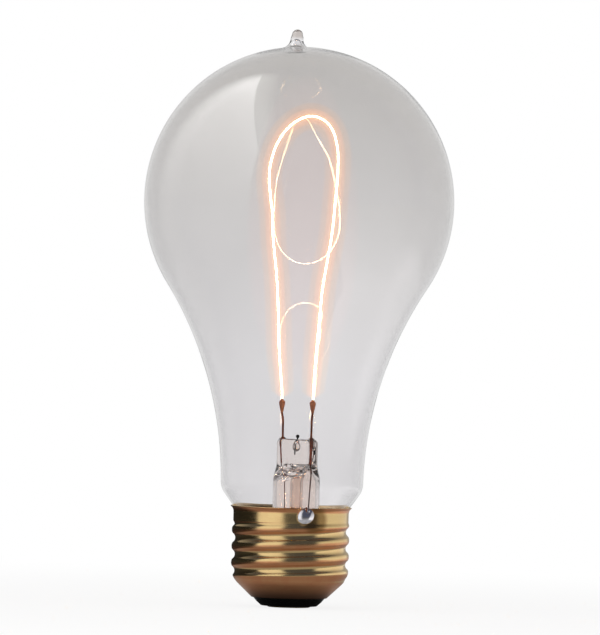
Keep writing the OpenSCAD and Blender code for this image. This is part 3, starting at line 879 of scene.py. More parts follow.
@dataclass
class Mount:
    """The glass stem in the neck: its flared tube, its press and what is sealed into it.

    Its own frame has u along the press, to the right, and v behind it.
    """

    off: float = 1.0
    turned: float = 42.0
    tube_r: float = 5.15
    wall: float = 0.9
    flare_bend_r: float = 1.6
    flare_r: float = 9.86
    seal_z: float = 13.6
    pinch_z: float = 28.6
    pinch_bore_w: float = 0.92
    pinch_bore_half_t: float = 0.5
    # Where the pinch begins, from pinch_z, and ends, from press_foot_z
    pinch_inside: Flat = (-1.0, -0.7)
    pinch_outside: Flat = (-0.6, 0.5)
    press_foot_z: float = 31.1
    press_z: float = 37.1
    press_w: float = 10.9
    press_t: float = 3.4
    press_round: float = 1.0
    port_at: Point = (0.0, -2.0, -0.15)
    port_size: Point = (1.7, 2.1, 0.72)
    bubble_at: Point = (0.45, 0.0, -1.75)
    bubble_size: Point = (1.1, 0.8, 1.05)
    exhaust_r: float = 1.45
    exhaust_bore_r: float = 0.85
    exhaust_foot_z: float = 8.26
    exhaust_foot_t: float = 0.6
    anchor_r: float = 0.17
    anchor_ball_r: float = 0.4
    anchor_ball_h: float = 0.6
    anchor_depth: float = 3.5
    # The beads round the leads: radius, foot and foot's centre, and how far the top's is down
    ear_r: float = 0.95
    ear_foot: Flat = (0.6, 1.6)
    ear_top: float = 0.55
    lead_left: float = -4.4
    lead_right: float = 4.0
    clamp_left: float = -4.9
    clamp_right: float = 4.2
    lead_glass_ior: float = 1.54
    count: int = 96

    def place(self, u: float, v: float, z: float) -> Point:
        """A point of the mount in the bulb's frame.

        Args:
            u: The distance along the press, to the right.
            v: The distance behind it.
            z: The height.

        Returns:
            The point.
        """
        angle = math.radians(self.turned)
        return (self.off + u * math.cos(angle) + v * math.sin(angle),
                v * math.cos(angle) - u * math.sin(angle), z)

    def set_in_place(self, piece: bpy.types.Object) -> None:
        """Moves a piece drawn in the mount's own frame to its place in the bulb."""
        move_vertices(piece, lambda p, n: Vector(self.place(p.x, p.y, p.z)))

    def pinched(self, r: float, share: float, z: float, half_w: float, half_t: float) -> Section:
        """A cross-section between the round tube and the flat press.

        Args:
            r: The tube's radius.
            share: How far it is pinched, from 0 to 1.
            z: Its height.
            half_w: Half the press's width.
            half_t: Half the press's thickness.

        Returns:
            The section.
        """
        ease = smooth(share)
        half_v = mix(r, half_t, ease)
        return Section(mix(r, half_w, ease), half_v, half_v * 0.995, z)

    def sections(self) -> list[Section]:
        """The stem's cross-sections, down its bore and up its outside.

        Returns:
            The sections in the order in which the glass is drawn.
        """
        bore_r, bend_x = self.tube_r - self.wall, self.tube_r + self.flare_bend_r
        bend_z = self.seal_z + self.flare_bend_r
        lip_r = self.flare_r - self.wall / 2
        half_w, half_t = self.press_w / 2, self.press_t / 2
        bore_foot, tube_foot = (self.pinch_z + span[0]
                                for span in (self.pinch_inside, self.pinch_outside))
        bore_top, flat_z = (self.press_foot_z + span[1]
                            for span in (self.pinch_inside, self.pinch_outside))
        top_z = self.press_z - self.press_round
        rings = [self.pinched(bore_r, s, mix(bore_foot, bore_top, s), bore_r * self.pinch_bore_w,
                              self.pinch_bore_half_t)
                 for s in (1, 0.9, 0.8, 0.65, 0.5, 0.35, 0.2, 0)]
        rings += [Section(r, r, r * 0.999, z) for r, z in [
            *arc((bend_x, bend_z), self.flare_bend_r + self.wall, 180, 270, 10),
            *arc((lip_r, self.seal_z - self.wall / 2), self.wall / 2, -90, 90, 30),
            *arc((bend_x, bend_z), self.flare_bend_r, 270, 180, 10),
        ]]
        rings += [self.pinched(self.tube_r, s, mix(tube_foot, flat_z, s), half_w, half_t)
                  for s in (0, 0.1, 0.2, 0.32, 0.45, 0.6, 0.75, 0.88, 1)]
        rings += [Section(half_w, half_t, half_t * 0.995, z)
                  for z in (mix(flat_z, top_z, 0.5), top_z)]
        for angle in (20, 40, 60, 80, 90):
            back = self.press_round * (1 - math.cos(math.radians(angle)))
            z = top_z + self.press_round * math.sin(math.radians(angle))
            rings.append(Section(half_w - back, half_t - back, (half_t - back) * 0.995, z))
        return rings

    def ear(self, u: float) -> bpy.types.Object:
        """The bead of glass that the press leaves round a lead.

        Args:
            u: Where the lead is, along the press.

        Returns:
            The bead, to be joined to the press.
        """
        foot_z, centre_z = (self.press_foot_z + h for h in self.ear_foot)
        profile = [(0, foot_z), *arc((0, centre_z), self.ear_r, -80, -5, 15),
                   *arc((0, self.press_z - self.ear_r * self.ear_top), self.ear_r, 0, 90, 10)]
        bead = turn("ear", profile, 32)
        move_vertices(bead, lambda p, n: p + Vector((u, 0, 0)))
        return bead

    def hollow(self, name: str, z: float, at: Point, size: Point) -> bpy.types.Object:
        """A rounded hollow in the glass.

        Args:
            name: Its name.
            z: The height of the part of the press that it belongs to.
            at: Its middle, from there.
            size: Its three radii.

        Returns:
            The hollow, to be cut away.
        """
        middle = (at[0], at[1], z + at[2])
        air = ball(name, 32, 20)
        move_vertices(air, lambda p, n: Vector([m + c * r for m, c, r in zip(middle, p, size)]))
        return air

    def build_stem(self) -> None:
        """Builds the stem from its sections, with its ears, the port blown through the front
        of the press's foot, and the air bubble caught in the press."""
        stem = draw_out("glass_stem", self.sections(), self.count)
        for u in (self.lead_left, self.lead_right):
            combine(stem, self.ear(u), Cut.JOIN)
        combine(stem, self.hollow("port", self.press_foot_z, self.port_at, self.port_size),
                Cut.AWAY)
        combine(stem, self.hollow("bubble", self.press_z, self.bubble_at, self.bubble_size),
                Cut.AWAY)
        self.set_in_place(stem)
        bpy.ops.object.shade_smooth_by_angle(angle=math.radians(50))
        # Drawn and flame-worked: soft edges with bright lines in them, a trace of pink
        finish_piece(stem, "stem_tube",
                     ClearGlass("drawn lead glass", "#FFF7F2", self.lead_glass_ior))

    def build_exhaust(self) -> None:
        """Builds the tube that the bulb was pumped through, melted shut at its foot."""
        foot_z, top_z = self.exhaust_foot_z, self.press_foot_z - 0.75
        r, bore = self.exhaust_r, self.exhaust_bore_r
        profile = [(0, foot_z), *arc((0, foot_z + r), r, -80, 0, 10), (r, top_z), (bore, top_z),
                   *arc((0, foot_z + r + self.exhaust_foot_t), bore, 0, -90, 15)]
        tube = turn("pump_tube", profile, 40)
        self.set_in_place(tube)
        # Drawn in one pull: straight bright and dark lines along it
        finish_piece(tube, "exhaust_tube",
                     ClearGlass("drawn lead glass tube", "#FBF2EC", self.lead_glass_ior))

    def build_anchor(self) -> None:
        """Builds the unused anchor wire: a stub with a melted ball on its end."""
        r, ball_r, ball_z = self.anchor_r, self.anchor_ball_r, self.press_z + self.anchor_ball_h
        foot_z = self.press_z - self.anchor_depth
        profile = [(0, foot_z), (r, foot_z), (r, ball_z - ball_r),
                   *arc((0, ball_z), ball_r, -60, 90, 12)]
        stub = turn("anchor_wire_stub", profile, 20)
        self.set_in_place(stub)
        # Burnt in the flame: a dark scale, half dull
        finish_piece(stub, "anchor_stub", Mottled(
            "oxidised iron wire", "#2A2220", "#14100F", blotch_mm=0.3, grain_mm=0.06,
            grain_depth_mm=0.01, roughness=(0.5, 0.7), metallic=0.7))


@dataclass
class Leads:
    """The wires from the contacts to the filament, and the clamps of paste on their ends."""

    mount: Mount
    clamp_z: float = 46.0
    clamp_len: float = 3.2
    clamp_r: float = 0.725
    # The clamp's lower half: radius and height over its tip
    clamp_cone: tuple[Flat, ...] = ((0, 0), (0.33, 0), (0.38, 0.5), (0.5, 1.0), (0.64, 1.6))
    clamp_lumps: float = 0.035
    inner_r: float = 0.25
    # The kink: the share of the way from the press to the clamp, and the height
    kink: tuple[Flat, ...] = ((0.1, 39.6), (0.2, 41.3), (0.7, 42.3))
    inner_swell: tuple[float, ...] = (1, 1, 0.97, 1.0, 1.06, 1, 1)
    seal_r: float = 0.2
    seal_z: Point = (31.5, 33.5, 35.4)
    outer_r: float = 0.13
    bore_top_z: float = 30.5
    bore_z: float = 28.1
    foot_u: float = 3.85
    foot_step: float = 0.3
    cap_h: float = 22.1
    # Under the exhaust tube and down to the eyelet
    to_eyelet: tuple[Point, ...] = ((-1.4, 1.4, 8.66), (-0.4, 0.4, 6.66), (0, 0, 4.86),
                                    (0, 0, 0.3))
    turn_z: float = 11.8
    wall_r: float = 11.11
    rim_deg: float = -75.62
    # Up the neck and over the rim: radius and height over it
    over_rim: tuple[Flat, ...] = ((11.11, -3.4), (11.96, -1.5), (12.36, -0.6), (12.78, 0.0),
                                  (13.35, 0.28), (13.7, 0.14), (13.5, -0.8))

    def lead_u(self, top: float, z: float) -> float:
        """A lead's distance from the stem's axis at a height in the press."""
        share = (self.mount.press_z - z) / (self.mount.press_z - self.bore_top_z)
        return mix(top, math.copysign(self.foot_u, top), share)

    def build_inner(self, side: str, top: float, clamp_u: float) -> None:
        """Builds a lead above the press, with its slight kink.

        Args:
            side: "left" or "right".
            top: Where it leaves the press, along the mount.
            clamp_u: Where its clamp is.
        """
        tip_z, seal_top_z = self.clamp_z - self.clamp_len, self.seal_z[-1]
        route = [(self.lead_u(top, seal_top_z), seal_top_z), (top, self.mount.press_z),
                 *((mix(top, clamp_u, share), z) for share, z in self.kink),
                 (clamp_u, tip_z + 0.2), (clamp_u, tip_z + 1.2)]
        wire = sweep(f"lead_{side}", [self.mount.place(u, 0, z) for u, z in route], self.inner_r,
                     swell=self.inner_swell)
        # Drawn bright, then darkened as the press was heated: red-brown, dull in patches
        finish_piece(wire, f"inner_lead_{side}", Mottled(
            "heat-darkened copper wire", "#C47046", "#84452A", blotch_mm=1.6, grain_mm=0.12,
            grain_depth_mm=0.012, roughness=(0.6, 0.75), metallic=0.5))

    def build_seal(self, side: str, top: float) -> None:
        """Builds the stretch of a lead that is sealed in the press's glass.

        Args:
            side: "left" or "right".
            top: Where the lead leaves the press, along the mount.
        """
        ends = [self.mount.place(self.lead_u(top, z), 0, z) for z in self.seal_z]
        wire = sweep(f"seal_wire_in_glass_{side}", ends, self.seal_r)
        # Oxidised and wetted by hot glass: brick red, with a little gloss
        finish_piece(wire, f"seal_wire_{side}", Mottled(
            "copper sheath, red where it is wetted by glass", "#D2704A", "#A4462E",
            blotch_mm=0.8, grain_mm=0.1, grain_depth_mm=0.006, roughness=(0.45, 0.6),
            metallic=0.3))

    def build_clamp(self, side: str, clamp_u: float) -> None:
        """Builds a clamp: a teardrop of paste, a little lumpy from the hand that put it on.

        Args:
            side: "left" or "right".
            clamp_u: Where it is, along the mount.
        """
        tip_z, r = self.clamp_z - self.clamp_len, self.clamp_r
        profile = [*((cone_r, tip_z + z) for cone_r, z in self.clamp_cone),
                   *arc((0, self.clamp_z - r - 0.25), r, 0, 62, 8), (0.2, self.clamp_z - 0.06),
                   (0, self.clamp_z)]
        clamp = turn(f"paste_{side}", profile, 36)
        modify(clamp, "SUBSURF", levels=1, render_levels=1)
        x, y, _ = self.mount.place(clamp_u, 0, 0)
        move_vertices(clamp, lambda p, n: p + Vector((x, y, 0)) - n * self.clamp_lumps * (
            1 + noise.noise(p * 2.2 + Vector((clamp_u, 0, 0)))))
        # Put on wet and baked: dull and lumpy; its orange colours are painted glow from the
        # filament's end
        finish_piece(clamp, f"filament_clamp_{side}", Mottled(
            "baked carbon paste with painted glow", "#F49A64", "#B4643E", blotch_mm=0.7, grain_mm=0.09,
            grain_depth_mm=0.02, roughness=(0.5, 0.7), metallic=0.2))

    def down_stem(self, top: float) -> list[Point]:
        """The way of an outer lead from the press down the stem's bore to its foot.

        Args:
            top: Where its inner lead leaves the press, along the mount.

        Returns:
            The points of that way.
        """
        foot, seal_z = math.copysign(self.foot_u, top), self.seal_z[0]
        inner = foot - math.copysign(self.foot_step, top)
        return [self.mount.place(u, 0, z) for u, z in (
            (self.lead_u(top, seal_z), seal_z), (foot, self.bore_top_z), (foot, self.bore_z),
            (inner, self.cap_h), (inner, self.mount.seal_z))]

    def build_outer(self) -> None:
        """Builds the thin wires under the press: one to the eyelet, one over the rim."""
        # Drawn thin and kept from the flame: still nearly bright
        finish = Mottled("thin copper wire", "#9A5A3A", "#5A2E20", blotch_mm=2.0, grain_mm=0.1,
                         grain_depth_mm=0.006, roughness=(0.3, 0.45), metallic=0.9)
        angle, turn_z = math.radians(self.rim_deg), self.turn_z
        under = [(6.36, turn_z), (self.wall_r - 0.6, turn_z), (self.wall_r, turn_z + 0.6),
                 *((r, self.cap_h + z) for r, z in self.over_rim)]
        centre = [*self.down_stem(self.mount.lead_left), *self.to_eyelet]
        side = [*self.down_stem(self.mount.lead_right),
                self.mount.place(self.foot_u - self.foot_step, 0, turn_z + 0.6),
                *((r * math.cos(angle), r * math.sin(angle), z) for r, z in under)]
        finish_piece(sweep("lead_to_eyelet", centre, self.outer_r), "outer_lead_centre",
                     finish)
        finish_piece(sweep("lead_over_rim", side, self.outer_r), "outer_lead_side",
                     finish)

    def build(self) -> None:
        """Builds every wire and both clamps."""
        mount = self.mount
        for side, top, clamp_u in (("left", mount.lead_left, mount.clamp_left),
                                   ("right", mount.lead_right, mount.clamp_right)):
            self.build_inner(side, top, clamp_u)
            self.build_seal(side, top)
            self.build_clamp(side, clamp_u)
        self.build_outer()


@dataclass
class Filament:
    """The hairpin of carbonised thread, which widens into an oval head."""

    mount: Mount
    width: float = 20.0
    height: float = 62.3
    foot_z: float = 46.0
    radius: float = 0.17
    grip: float = 1.2
    # The hairpin above its feet, as shares of half its width and of its height
    head: tuple[Flat, ...] = (
        (-0.60, 0.15), (-0.68, 0.32), (-0.76, 0.44), (-0.88, 0.56), (-0.93, 0.66),
        (-1.00, 0.72), (-1.05, 0.79), (-0.96, 0.86), (-0.76, 0.92), (-0.42, 0.97),
        (-0.05, 0.995), (0.14, 1.00), (0.46, 0.99), (0.74, 0.96), (0.93, 0.90), (0.98, 0.81),
        (0.93, 0.71), (0.86, 0.59), (0.73, 0.48), (0.63, 0.40), (0.54, 0.26), (0.47, 0.13))
    # The halo's layers: name, radius, light, and how much blue it takes
    halo: tuple[tuple[str, float, Point, float], ...] = (
        ("inner", 0.8, (90, 68, 10), 0), ("middle", 1.75, (58, 10, 0), 8),
        ("outer", 3.1, (19, 0.5, 0), 18))
    veil_light: Point = (2.6, 0.156, 0)
    veil_size: Point = (12.5, 12.5, 34.0)
    veil_up: float = 6.0

    def route(self) -> list[Point]:
        """The hairpin's way from the left clamp over its head to the right one.

        Returns:
            Its points, three of them in each clamp.
        """
        heights = (self.foot_z - self.grip, self.foot_z - 0.5, self.foot_z + 0.5)
        flat = [*((self.mount.clamp_left, z) for z in heights),
                *((w * self.width / 2, self.foot_z + h * self.height) for w, h in self.head),
                *((self.mount.clamp_right, z) for z in reversed(heights))]
        return [self.mount.place(u, 0, z) for u, z in flat]

    def build(self) -> None:
        """Builds the hairpin."""
        hairpin = sweep("hairpin", self.route(), self.radius, steps=12)
        finish_piece(hairpin, "filament",
                     GlowingCarbon("carbonised thread at white heat"))

    def hang(self, shape: bpy.types.Object, glow: Glow) -> None:
        """Makes a shape nothing but light in the air, which isn't part of the bulb.

        Args:
            shape: The shape that the light fills.
            glow: The light.
        """
        shape.data.materials.append(glow.material())
        shape.visible_diffuse = shape.visible_glossy = shape.visible_shadow = False

    def build_veil(self) -> None:
        """Adds the faint warm veil that the glow spreads round the whole hairpin."""
        veil = ball("veil", 64, 40)
        middle = self.mount.place(0, 0, self.foot_z + self.height / 2 + self.veil_up)
        move_vertices(veil, lambda p, n: Vector([
            m + r * c for m, r, c in zip(middle, self.veil_size, p)]))
        bpy.ops.object.shade_smooth()
        self.hang(veil, Glow("warm veil", self.veil_light))

    def build_halo(self) -> None:
        """Adds the glow that a lens sees round so bright a thread, in three layers."""
        middle = self.route()[3:-3]
        for name, radius, light, yellow in self.halo:
            ends = [(self.foot_z + 0.2 + radius * (1 - math.cos(a)), math.sin(a))
                    for a in (math.radians(10), math.radians(35), math.radians(60))]
            path = [*(self.mount.place(self.mount.clamp_left, 0, z) for z, _ in ends), *middle,
                    *(self.mount.place(self.mount.clamp_right, 0, z) for z, _ in reversed(ends))]
            swell = [*(s for _, s in ends), *(1 for _ in middle), *(s for _, s in reversed(ends))]
            self.hang(sweep(f"halo_{name}", path, radius, steps=8, swell=swell),
                      Glow(f"{name} glow", light, yellow))


@dataclass
class ScrewShell:
    """The rolled brass shell: a cone, the thread, a plain collar and a flared rim."""

    foot_z: float
    rim_z: float
    crest_r: float = 13.05
    pitch: float = 3.629
    arc_r: float = 1.191
    wall: float = 0.3
    drawn_wall: float = 0.75
    edge: float = 0.07
    first_crest_h: float = 2.7
    # The thread's end: where it fades from, how high the fade is, and where all is plain
    thread_end_z: float = 18.5
    fade_foot: float = 0.7
    fade_h: float = 1.2
    plain_over: float = 0.6
    collar_r: float = 12.72
    rim_r: float = 13.4
    flare_h: float = 1.9
    foot_r: float = 8.3
    cone_rate: float = 1.05
    bell_r: float = 5.3
    blend: float = 0.3
    dent: float = 0.02
    dent_h: float = 16.0
    dent_rate: float = 2.6
    rim_droop: float = 0.05
    rim_droop_h: float = 1.2
    solder_at: Point = (5.4, -11.8, 19.6)
    steps: int = 224
    ring_h: float = 0.15

    @classmethod
    def from_frame(cls) -> "ScrewShell":
        """Takes the shell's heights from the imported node."""
        low, high = box_mm("screw_shell")
        return cls(foot_z=low.z, rim_z=high.z)

    def thread(self, z: float, turns: float) -> float:
        """Radius of the thread's surface: equal arcs for crests and roots.

        Args:
            z: The height.
            turns: The angle round the axis, in turns.

        Returns:
            The radius.
        """
        swing = math.asin(self.pitch / 4 / self.arc_r)
        root_r = self.crest_r - 2 * self.arc_r * (1 - math.cos(swing))
        rise = (z - self.cone_top[1] - self.first_crest_h) / self.pitch - turns
        u = abs(rise - round(rise)) * self.pitch
        v = self.pitch / 2 - u
        if u < self.pitch / 4:
            return self.crest_r - self.arc_r + math.sqrt(self.arc_r ** 2 - u * u)
        return root_r + self.arc_r - math.sqrt(self.arc_r ** 2 - v * v)

    @property
    def cone_top(self) -> Flat:
        """Where the cone runs into its rounded shoulder, as radius and height."""
        angle = math.atan(self.cone_rate)
        r = self.crest_r - self.bell_r * (1 - math.cos(angle))
        return r, self.foot_z + (r - self.foot_r) / self.cone_rate

    def cone(self, z: float) -> float:
        """Radius of the cone under the thread, rounded into the first crest.

        Args:
            z: The height.

        Returns:
            The radius.
        """
        top_z = self.cone_top[1]
        bell_z = top_z + self.bell_r * math.sin(math.atan(self.cone_rate))
        if z <= top_z:
            return self.foot_r + self.cone_rate * (z - self.foot_z)
        if z < bell_z:
            return self.crest_r - self.bell_r + math.sqrt(self.bell_r ** 2 - (bell_z - z) ** 2)
        return self.crest_r

    def radius(self, z: float, turns: float) -> float:
        """Radius of the shell's outer surface.

        Args:
            z: The height.
            turns: The angle round the axis, in turns.

        Returns:
            The radius.
        """
        flare = min(1.0, max(0.0, (z - self.rim_z + self.flare_h) / self.flare_h))
        plain = mix(self.collar_r, self.rim_r, flare ** 4)
        if z >= self.thread_end_z + self.plain_over:
            return plain
        fade = smooth((z - self.thread_end_z + self.fade_foot) / self.fade_h)
        threaded, cone = mix(self.thread(z, turns), plain, fade), self.cone(z)
        blend = max(self.blend - abs(threaded - cone), 0) ** 2 / (4 * self.blend)
        return min(threaded, cone) - blend

    def roll(self, place: Vector, normal: Vector) -> Vector:
        """Presses the plain sleeve into the thread, with the small faults of thin brass.

        Args:
            place: A point of the sleeve.
            normal: Its normal, which isn't used.

        Returns:
            The point's new place.
        """
        angle = math.atan2(place.y, place.x)
        round_x, round_y = math.cos(angle), math.sin(angle)
        dents = noise.noise(Vector((round_x, round_y, place.z / self.dent_h)) * self.dent_rate)
        r = self.radius(place.z, angle / math.tau) - self.dent * (1 + dents)
        droop = self.rim_droop * smooth((place.z - self.rim_z) / self.rim_droop_h + 1)
        waves = 1 + noise.noise(Vector((round_x, round_y, 3)) * 2)
        return Vector((r * round_x, r * round_y, place.z - droop * waves))

    def build(self) -> None:
        """Builds the shell from a plain sleeve, rolled, given its wall and its edges eased."""
        rings = math.ceil((self.rim_z - self.foot_z) / self.ring_h)
        sleeve = [(self.collar_r, mix(self.foot_z, self.rim_z, i / rings))
                  for i in range(rings + 1)]
        shell = turn("brass_screw_shell", sleeve, self.steps)
        move_vertices(shell, self.roll)
        modify(shell, "SOLIDIFY", thickness=self.wall * self.drawn_wall * MM, offset=-1)
        modify(shell, "BEVEL", width=self.edge * MM, segments=2, limit_method="ANGLE",
               angle_limit=math.radians(60))
        bpy.ops.object.shade_smooth_by_angle(angle=math.radians(50))
        # Rolled and pressed from strip: a soft mirror with fine rings, brown painted reflection
        # where it looks down, on the crests and the rim, and painted shade at its foot
        finish_piece(shell, "screw_shell",
                     RolledBrass("rolled yellow brass", stain_at=self.solder_at))


@dataclass
class Base:
    """The bottom of the cap: black glass, the brass eyelet in it and its solder."""

    glass_d: float = 12.8
    glass_edge: float = 0.4
    foot_z: float = 0.3
    shell_foot_z: float = 2.1
    top_z: float = 4.96
    seat_r: float = 7.95
    cone_rate: float = 1.05
    bore_r: float = 0.6
    floor_z: float = 2.25
    # The glass's dished top: how far in from its edge, and the height
    dish: tuple[Flat, ...] = ((1, 5.66), (4, 5.06))
    dish_z: float = 4.86
    contact_r: float = 4.75
    contact_t: float = 0.8
    contact_edge: float = 0.3
    eyelet_r: float = 1.4
    eyelet_wall: float = 0.4
    eyelet_h: float = 1.4
    eyelet_lip: float = 0.25
    gap: float = 0.05
    # The solder's sunken face, as shares of its radius and heights, and its top
    solder_face: tuple[Flat, ...] = ((0, 0.32), (0.4, 0.26), (0.75, 0.13))
    solder_top: tuple[Flat, ...] = ((1, 0.3), (1, 1.4), (0.6, 1.55), (0, 1.65))

    def build_glass(self) -> None:
        """Builds the black glass, poured into the shell's cone and dished on top."""
        foot_r, edge = self.glass_d / 2, self.glass_edge
        seat_top_r = self.seat_r + self.cone_rate * (self.top_z - self.shell_foot_z)
        well_r, contact_r = self.eyelet_r + self.eyelet_wall + self.gap, self.contact_r + self.gap
        contact_z = self.contact_t + self.gap
        profile = [(self.bore_r, self.floor_z), (well_r, self.floor_z), (well_r, contact_z),
                   (contact_r, contact_z), (contact_r, self.foot_z),
                   *arc((foot_r - edge, self.foot_z + edge), edge, -90, -30, 10),
                   (mix(foot_r, self.seat_r, 0.5), 1.2), (mix(foot_r, self.seat_r, 0.86), 1.85),
                   (self.seat_r, self.shell_foot_z), (seat_top_r, self.top_z),
                   *((seat_top_r - r, z) for r, z in self.dish), (self.bore_r, self.dish_z)]
        glass = turn("black_glass_base", profile, 96, ring=True)
        # Poured hot and left to set: a deep gloss with hardly a ripple
        finish_piece(glass, "insulator", Mottled(
            "black glass, opaque and glossy", "#020202", "#050505", blotch_mm=3, grain_mm=1.2,
            grain_depth_mm=0.02, roughness=(0.06, 0.16)))

    def build_contact(self) -> None:
        """Builds the brass eyelet, its flange crowned and its edges eased."""
        r, bore, neck = self.contact_r, self.eyelet_r, self.eyelet_r + self.eyelet_wall
        lip, edge, flange_z = self.eyelet_lip, self.contact_edge, self.contact_t
        top_z = self.contact_t + self.eyelet_h
        profile = [(bore, lip), *arc((bore + lip, lip), lip, 180, 270, 30), (r * 0.6, 0.0),
                   *arc((r - edge, edge), edge, -90, 0, 30), (r, flange_z), (neck, flange_z),
                   (neck, top_z), (bore, top_z)]
        contact = turn("brass_eyelet", profile, 72, ring=True)
        # Stamped from strip and kept clean by the lampholder's spring: plain, wide marks; its face
        # that looks down takes the brown painted reflection, and it has no painted shade
        finish_piece(contact, "centre_contact", RolledBrass(
            "stamped brass eyelet", mark_mm=0.4, brown_tarnish_and_reflection="#B58A4A", foot_shade_heights=(-1, -2)))

    def build_solder(self) -> None:
        """Builds the solder that fills the eyelet, sunk a little in its middle."""
        r = self.eyelet_r - 0.02
        profile = [*((r * share, z) for share, z in self.solder_face), (r - 0.06, 0.08),
                   *((r * share, z) for share, z in self.solder_top)]
        solder = turn("eyelet_solder", profile, 48)
        move_vertices(solder, lambda p, n: p - n * 0.02 * (1 + noise.noise(p * 1.5)))
        finish_piece(solder, "contact_solder", tin_solder())

    def build(self) -> None:
        """Builds the base's three pieces."""
        self.build_glass()
        self.build_contact()
        self.build_solder()


def tin_solder() -> Mottled:
    """Bright tin-lead solder: near a mirror, with a grey frosting where it set last."""
    return Mottled("tin-lead solder", "#F2F0F4", "#CFCDD3", blotch_mm=1.4, grain_mm=0.5,
                   grain_depth_mm=0.02, roughness=(0.12, 0.22), metallic=1.0)


@dataclass
class SideSolder:
    """The drop of solder that holds the side lead on the collar."""

    rim_deg: float = -75.62
    z: float = 20.45
    width: float = 3.9
    height: float = 3.8
    proud: float = 1.05
    collar_r: float = 12.9
    sag: float = 0.1
    lean: float = 0.12
    sunk: float = 0.12
    dimple: float = 0.55
    dimple_at: Flat = (0.1, 0.62)
    dimple_spread: Flat = (0.05, 0.12)

    def shape(self, place: Vector, normal: Vector) -> Vector:
        """Shapes the unit ball into the drop, in its own frame: x outwards, y along the rim.

        Args:
            place: A point of the unit ball.
            normal: Its normal, which isn't used.

        Returns:
            The point's place in the bulb.
        """
        out, along, up = place
        depth = max(out, -self.sunk) * self.proud * (1 + self.sag * (1 - up) * (1 - abs(along)))
        dimple = self.dimple * math.exp(-sum(
            (c - at) ** 2 / spread
            for c, at, spread in zip((along, up), self.dimple_at, self.dimple_spread)))
        r = self.collar_r + depth - dimple * max(out, 0)
        angle = (math.radians(self.rim_deg)
                 + (along + self.lean * up) * self.width / 2 / self.collar_r)
        return Vector((r * math.cos(angle), r * math.sin(angle), self.z + up * self.height / 2))

    def build(self) -> None:
        """Builds the drop from a ball, pressed on the collar and dimpled by the wire."""
        drop = ball("solder_drop", 64, 40, turned=(0, math.pi / 2, 0))
        move_vertices(drop, self.shape)
        modify(drop, "SUBSURF", levels=1, render_levels=1)
        bpy.ops.object.shade_smooth()
        finish_piece(drop, "side_solder", tin_solder())


def dress_cement() -> None:
    """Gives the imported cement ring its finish: baked, sandy and matt."""
    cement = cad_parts["cement_ring"]
    cement.data.materials.clear()
    cement.data.materials.append(Mottled(
        "baked basing cement", "#A8977A", "#85755C", blotch_mm=1.5, grain_mm=0.25,
        grain_depth_mm=0.08, roughness=(0.85, 0.95)).material())
    LOG.info("cement_ring keeps its packed shape")


# The studio, which isn't part of the bulb


class Ray(Enum):
    """What the studio asks of a ray: how it was sent, or how often it was turned."""

    CAMERA = "Is Camera Ray"
    THROUGH = "Is Transmission Ray"
    MIRRORED = "Glossy Depth"
    SCATTERED = "Diffuse Depth"
    BENT = "Transmission Depth"
    # 1 for what clear glass mirrors, and 0 for what metal does
    SHARP = "Is Singular Ray"


@dataclass(frozen=True)
class SoftLamp:
    """A soft lamp: an evenly lit rectangle that looks at the bulb. Mirrors don't show it: what
    they show is the room and the cards."""

    name: str
    at: Point
    size: Flat
    brightness: float
    look_at: Point = (0.0, 0.0, 60.0)

    def build(self) -> None:
        """Adds the lamp, at the power that gives its face the brightness."""
        select_nothing()
        bpy.ops.object.light_add(type="AREA", location=Vector(self.at) * MM)
        lamp = bpy.context.active_object
        lamp.name = lamp.data.name = self.name
        lamp.data.shape = "RECTANGLE"
        lamp.data.size, lamp.data.size_y = self.size[0] * MM, self.size[1] * MM
        lamp.data.energy = self.brightness * math.pi * lamp.data.size * lamp.data.size_y
        away = Vector(self.at) - Vector(self.look_at)
        lamp.rotation_euler = away.to_track_quat("Z", "Y").to_euler()
        lamp.visible_camera = lamp.visible_glossy = lamp.visible_transmission = False


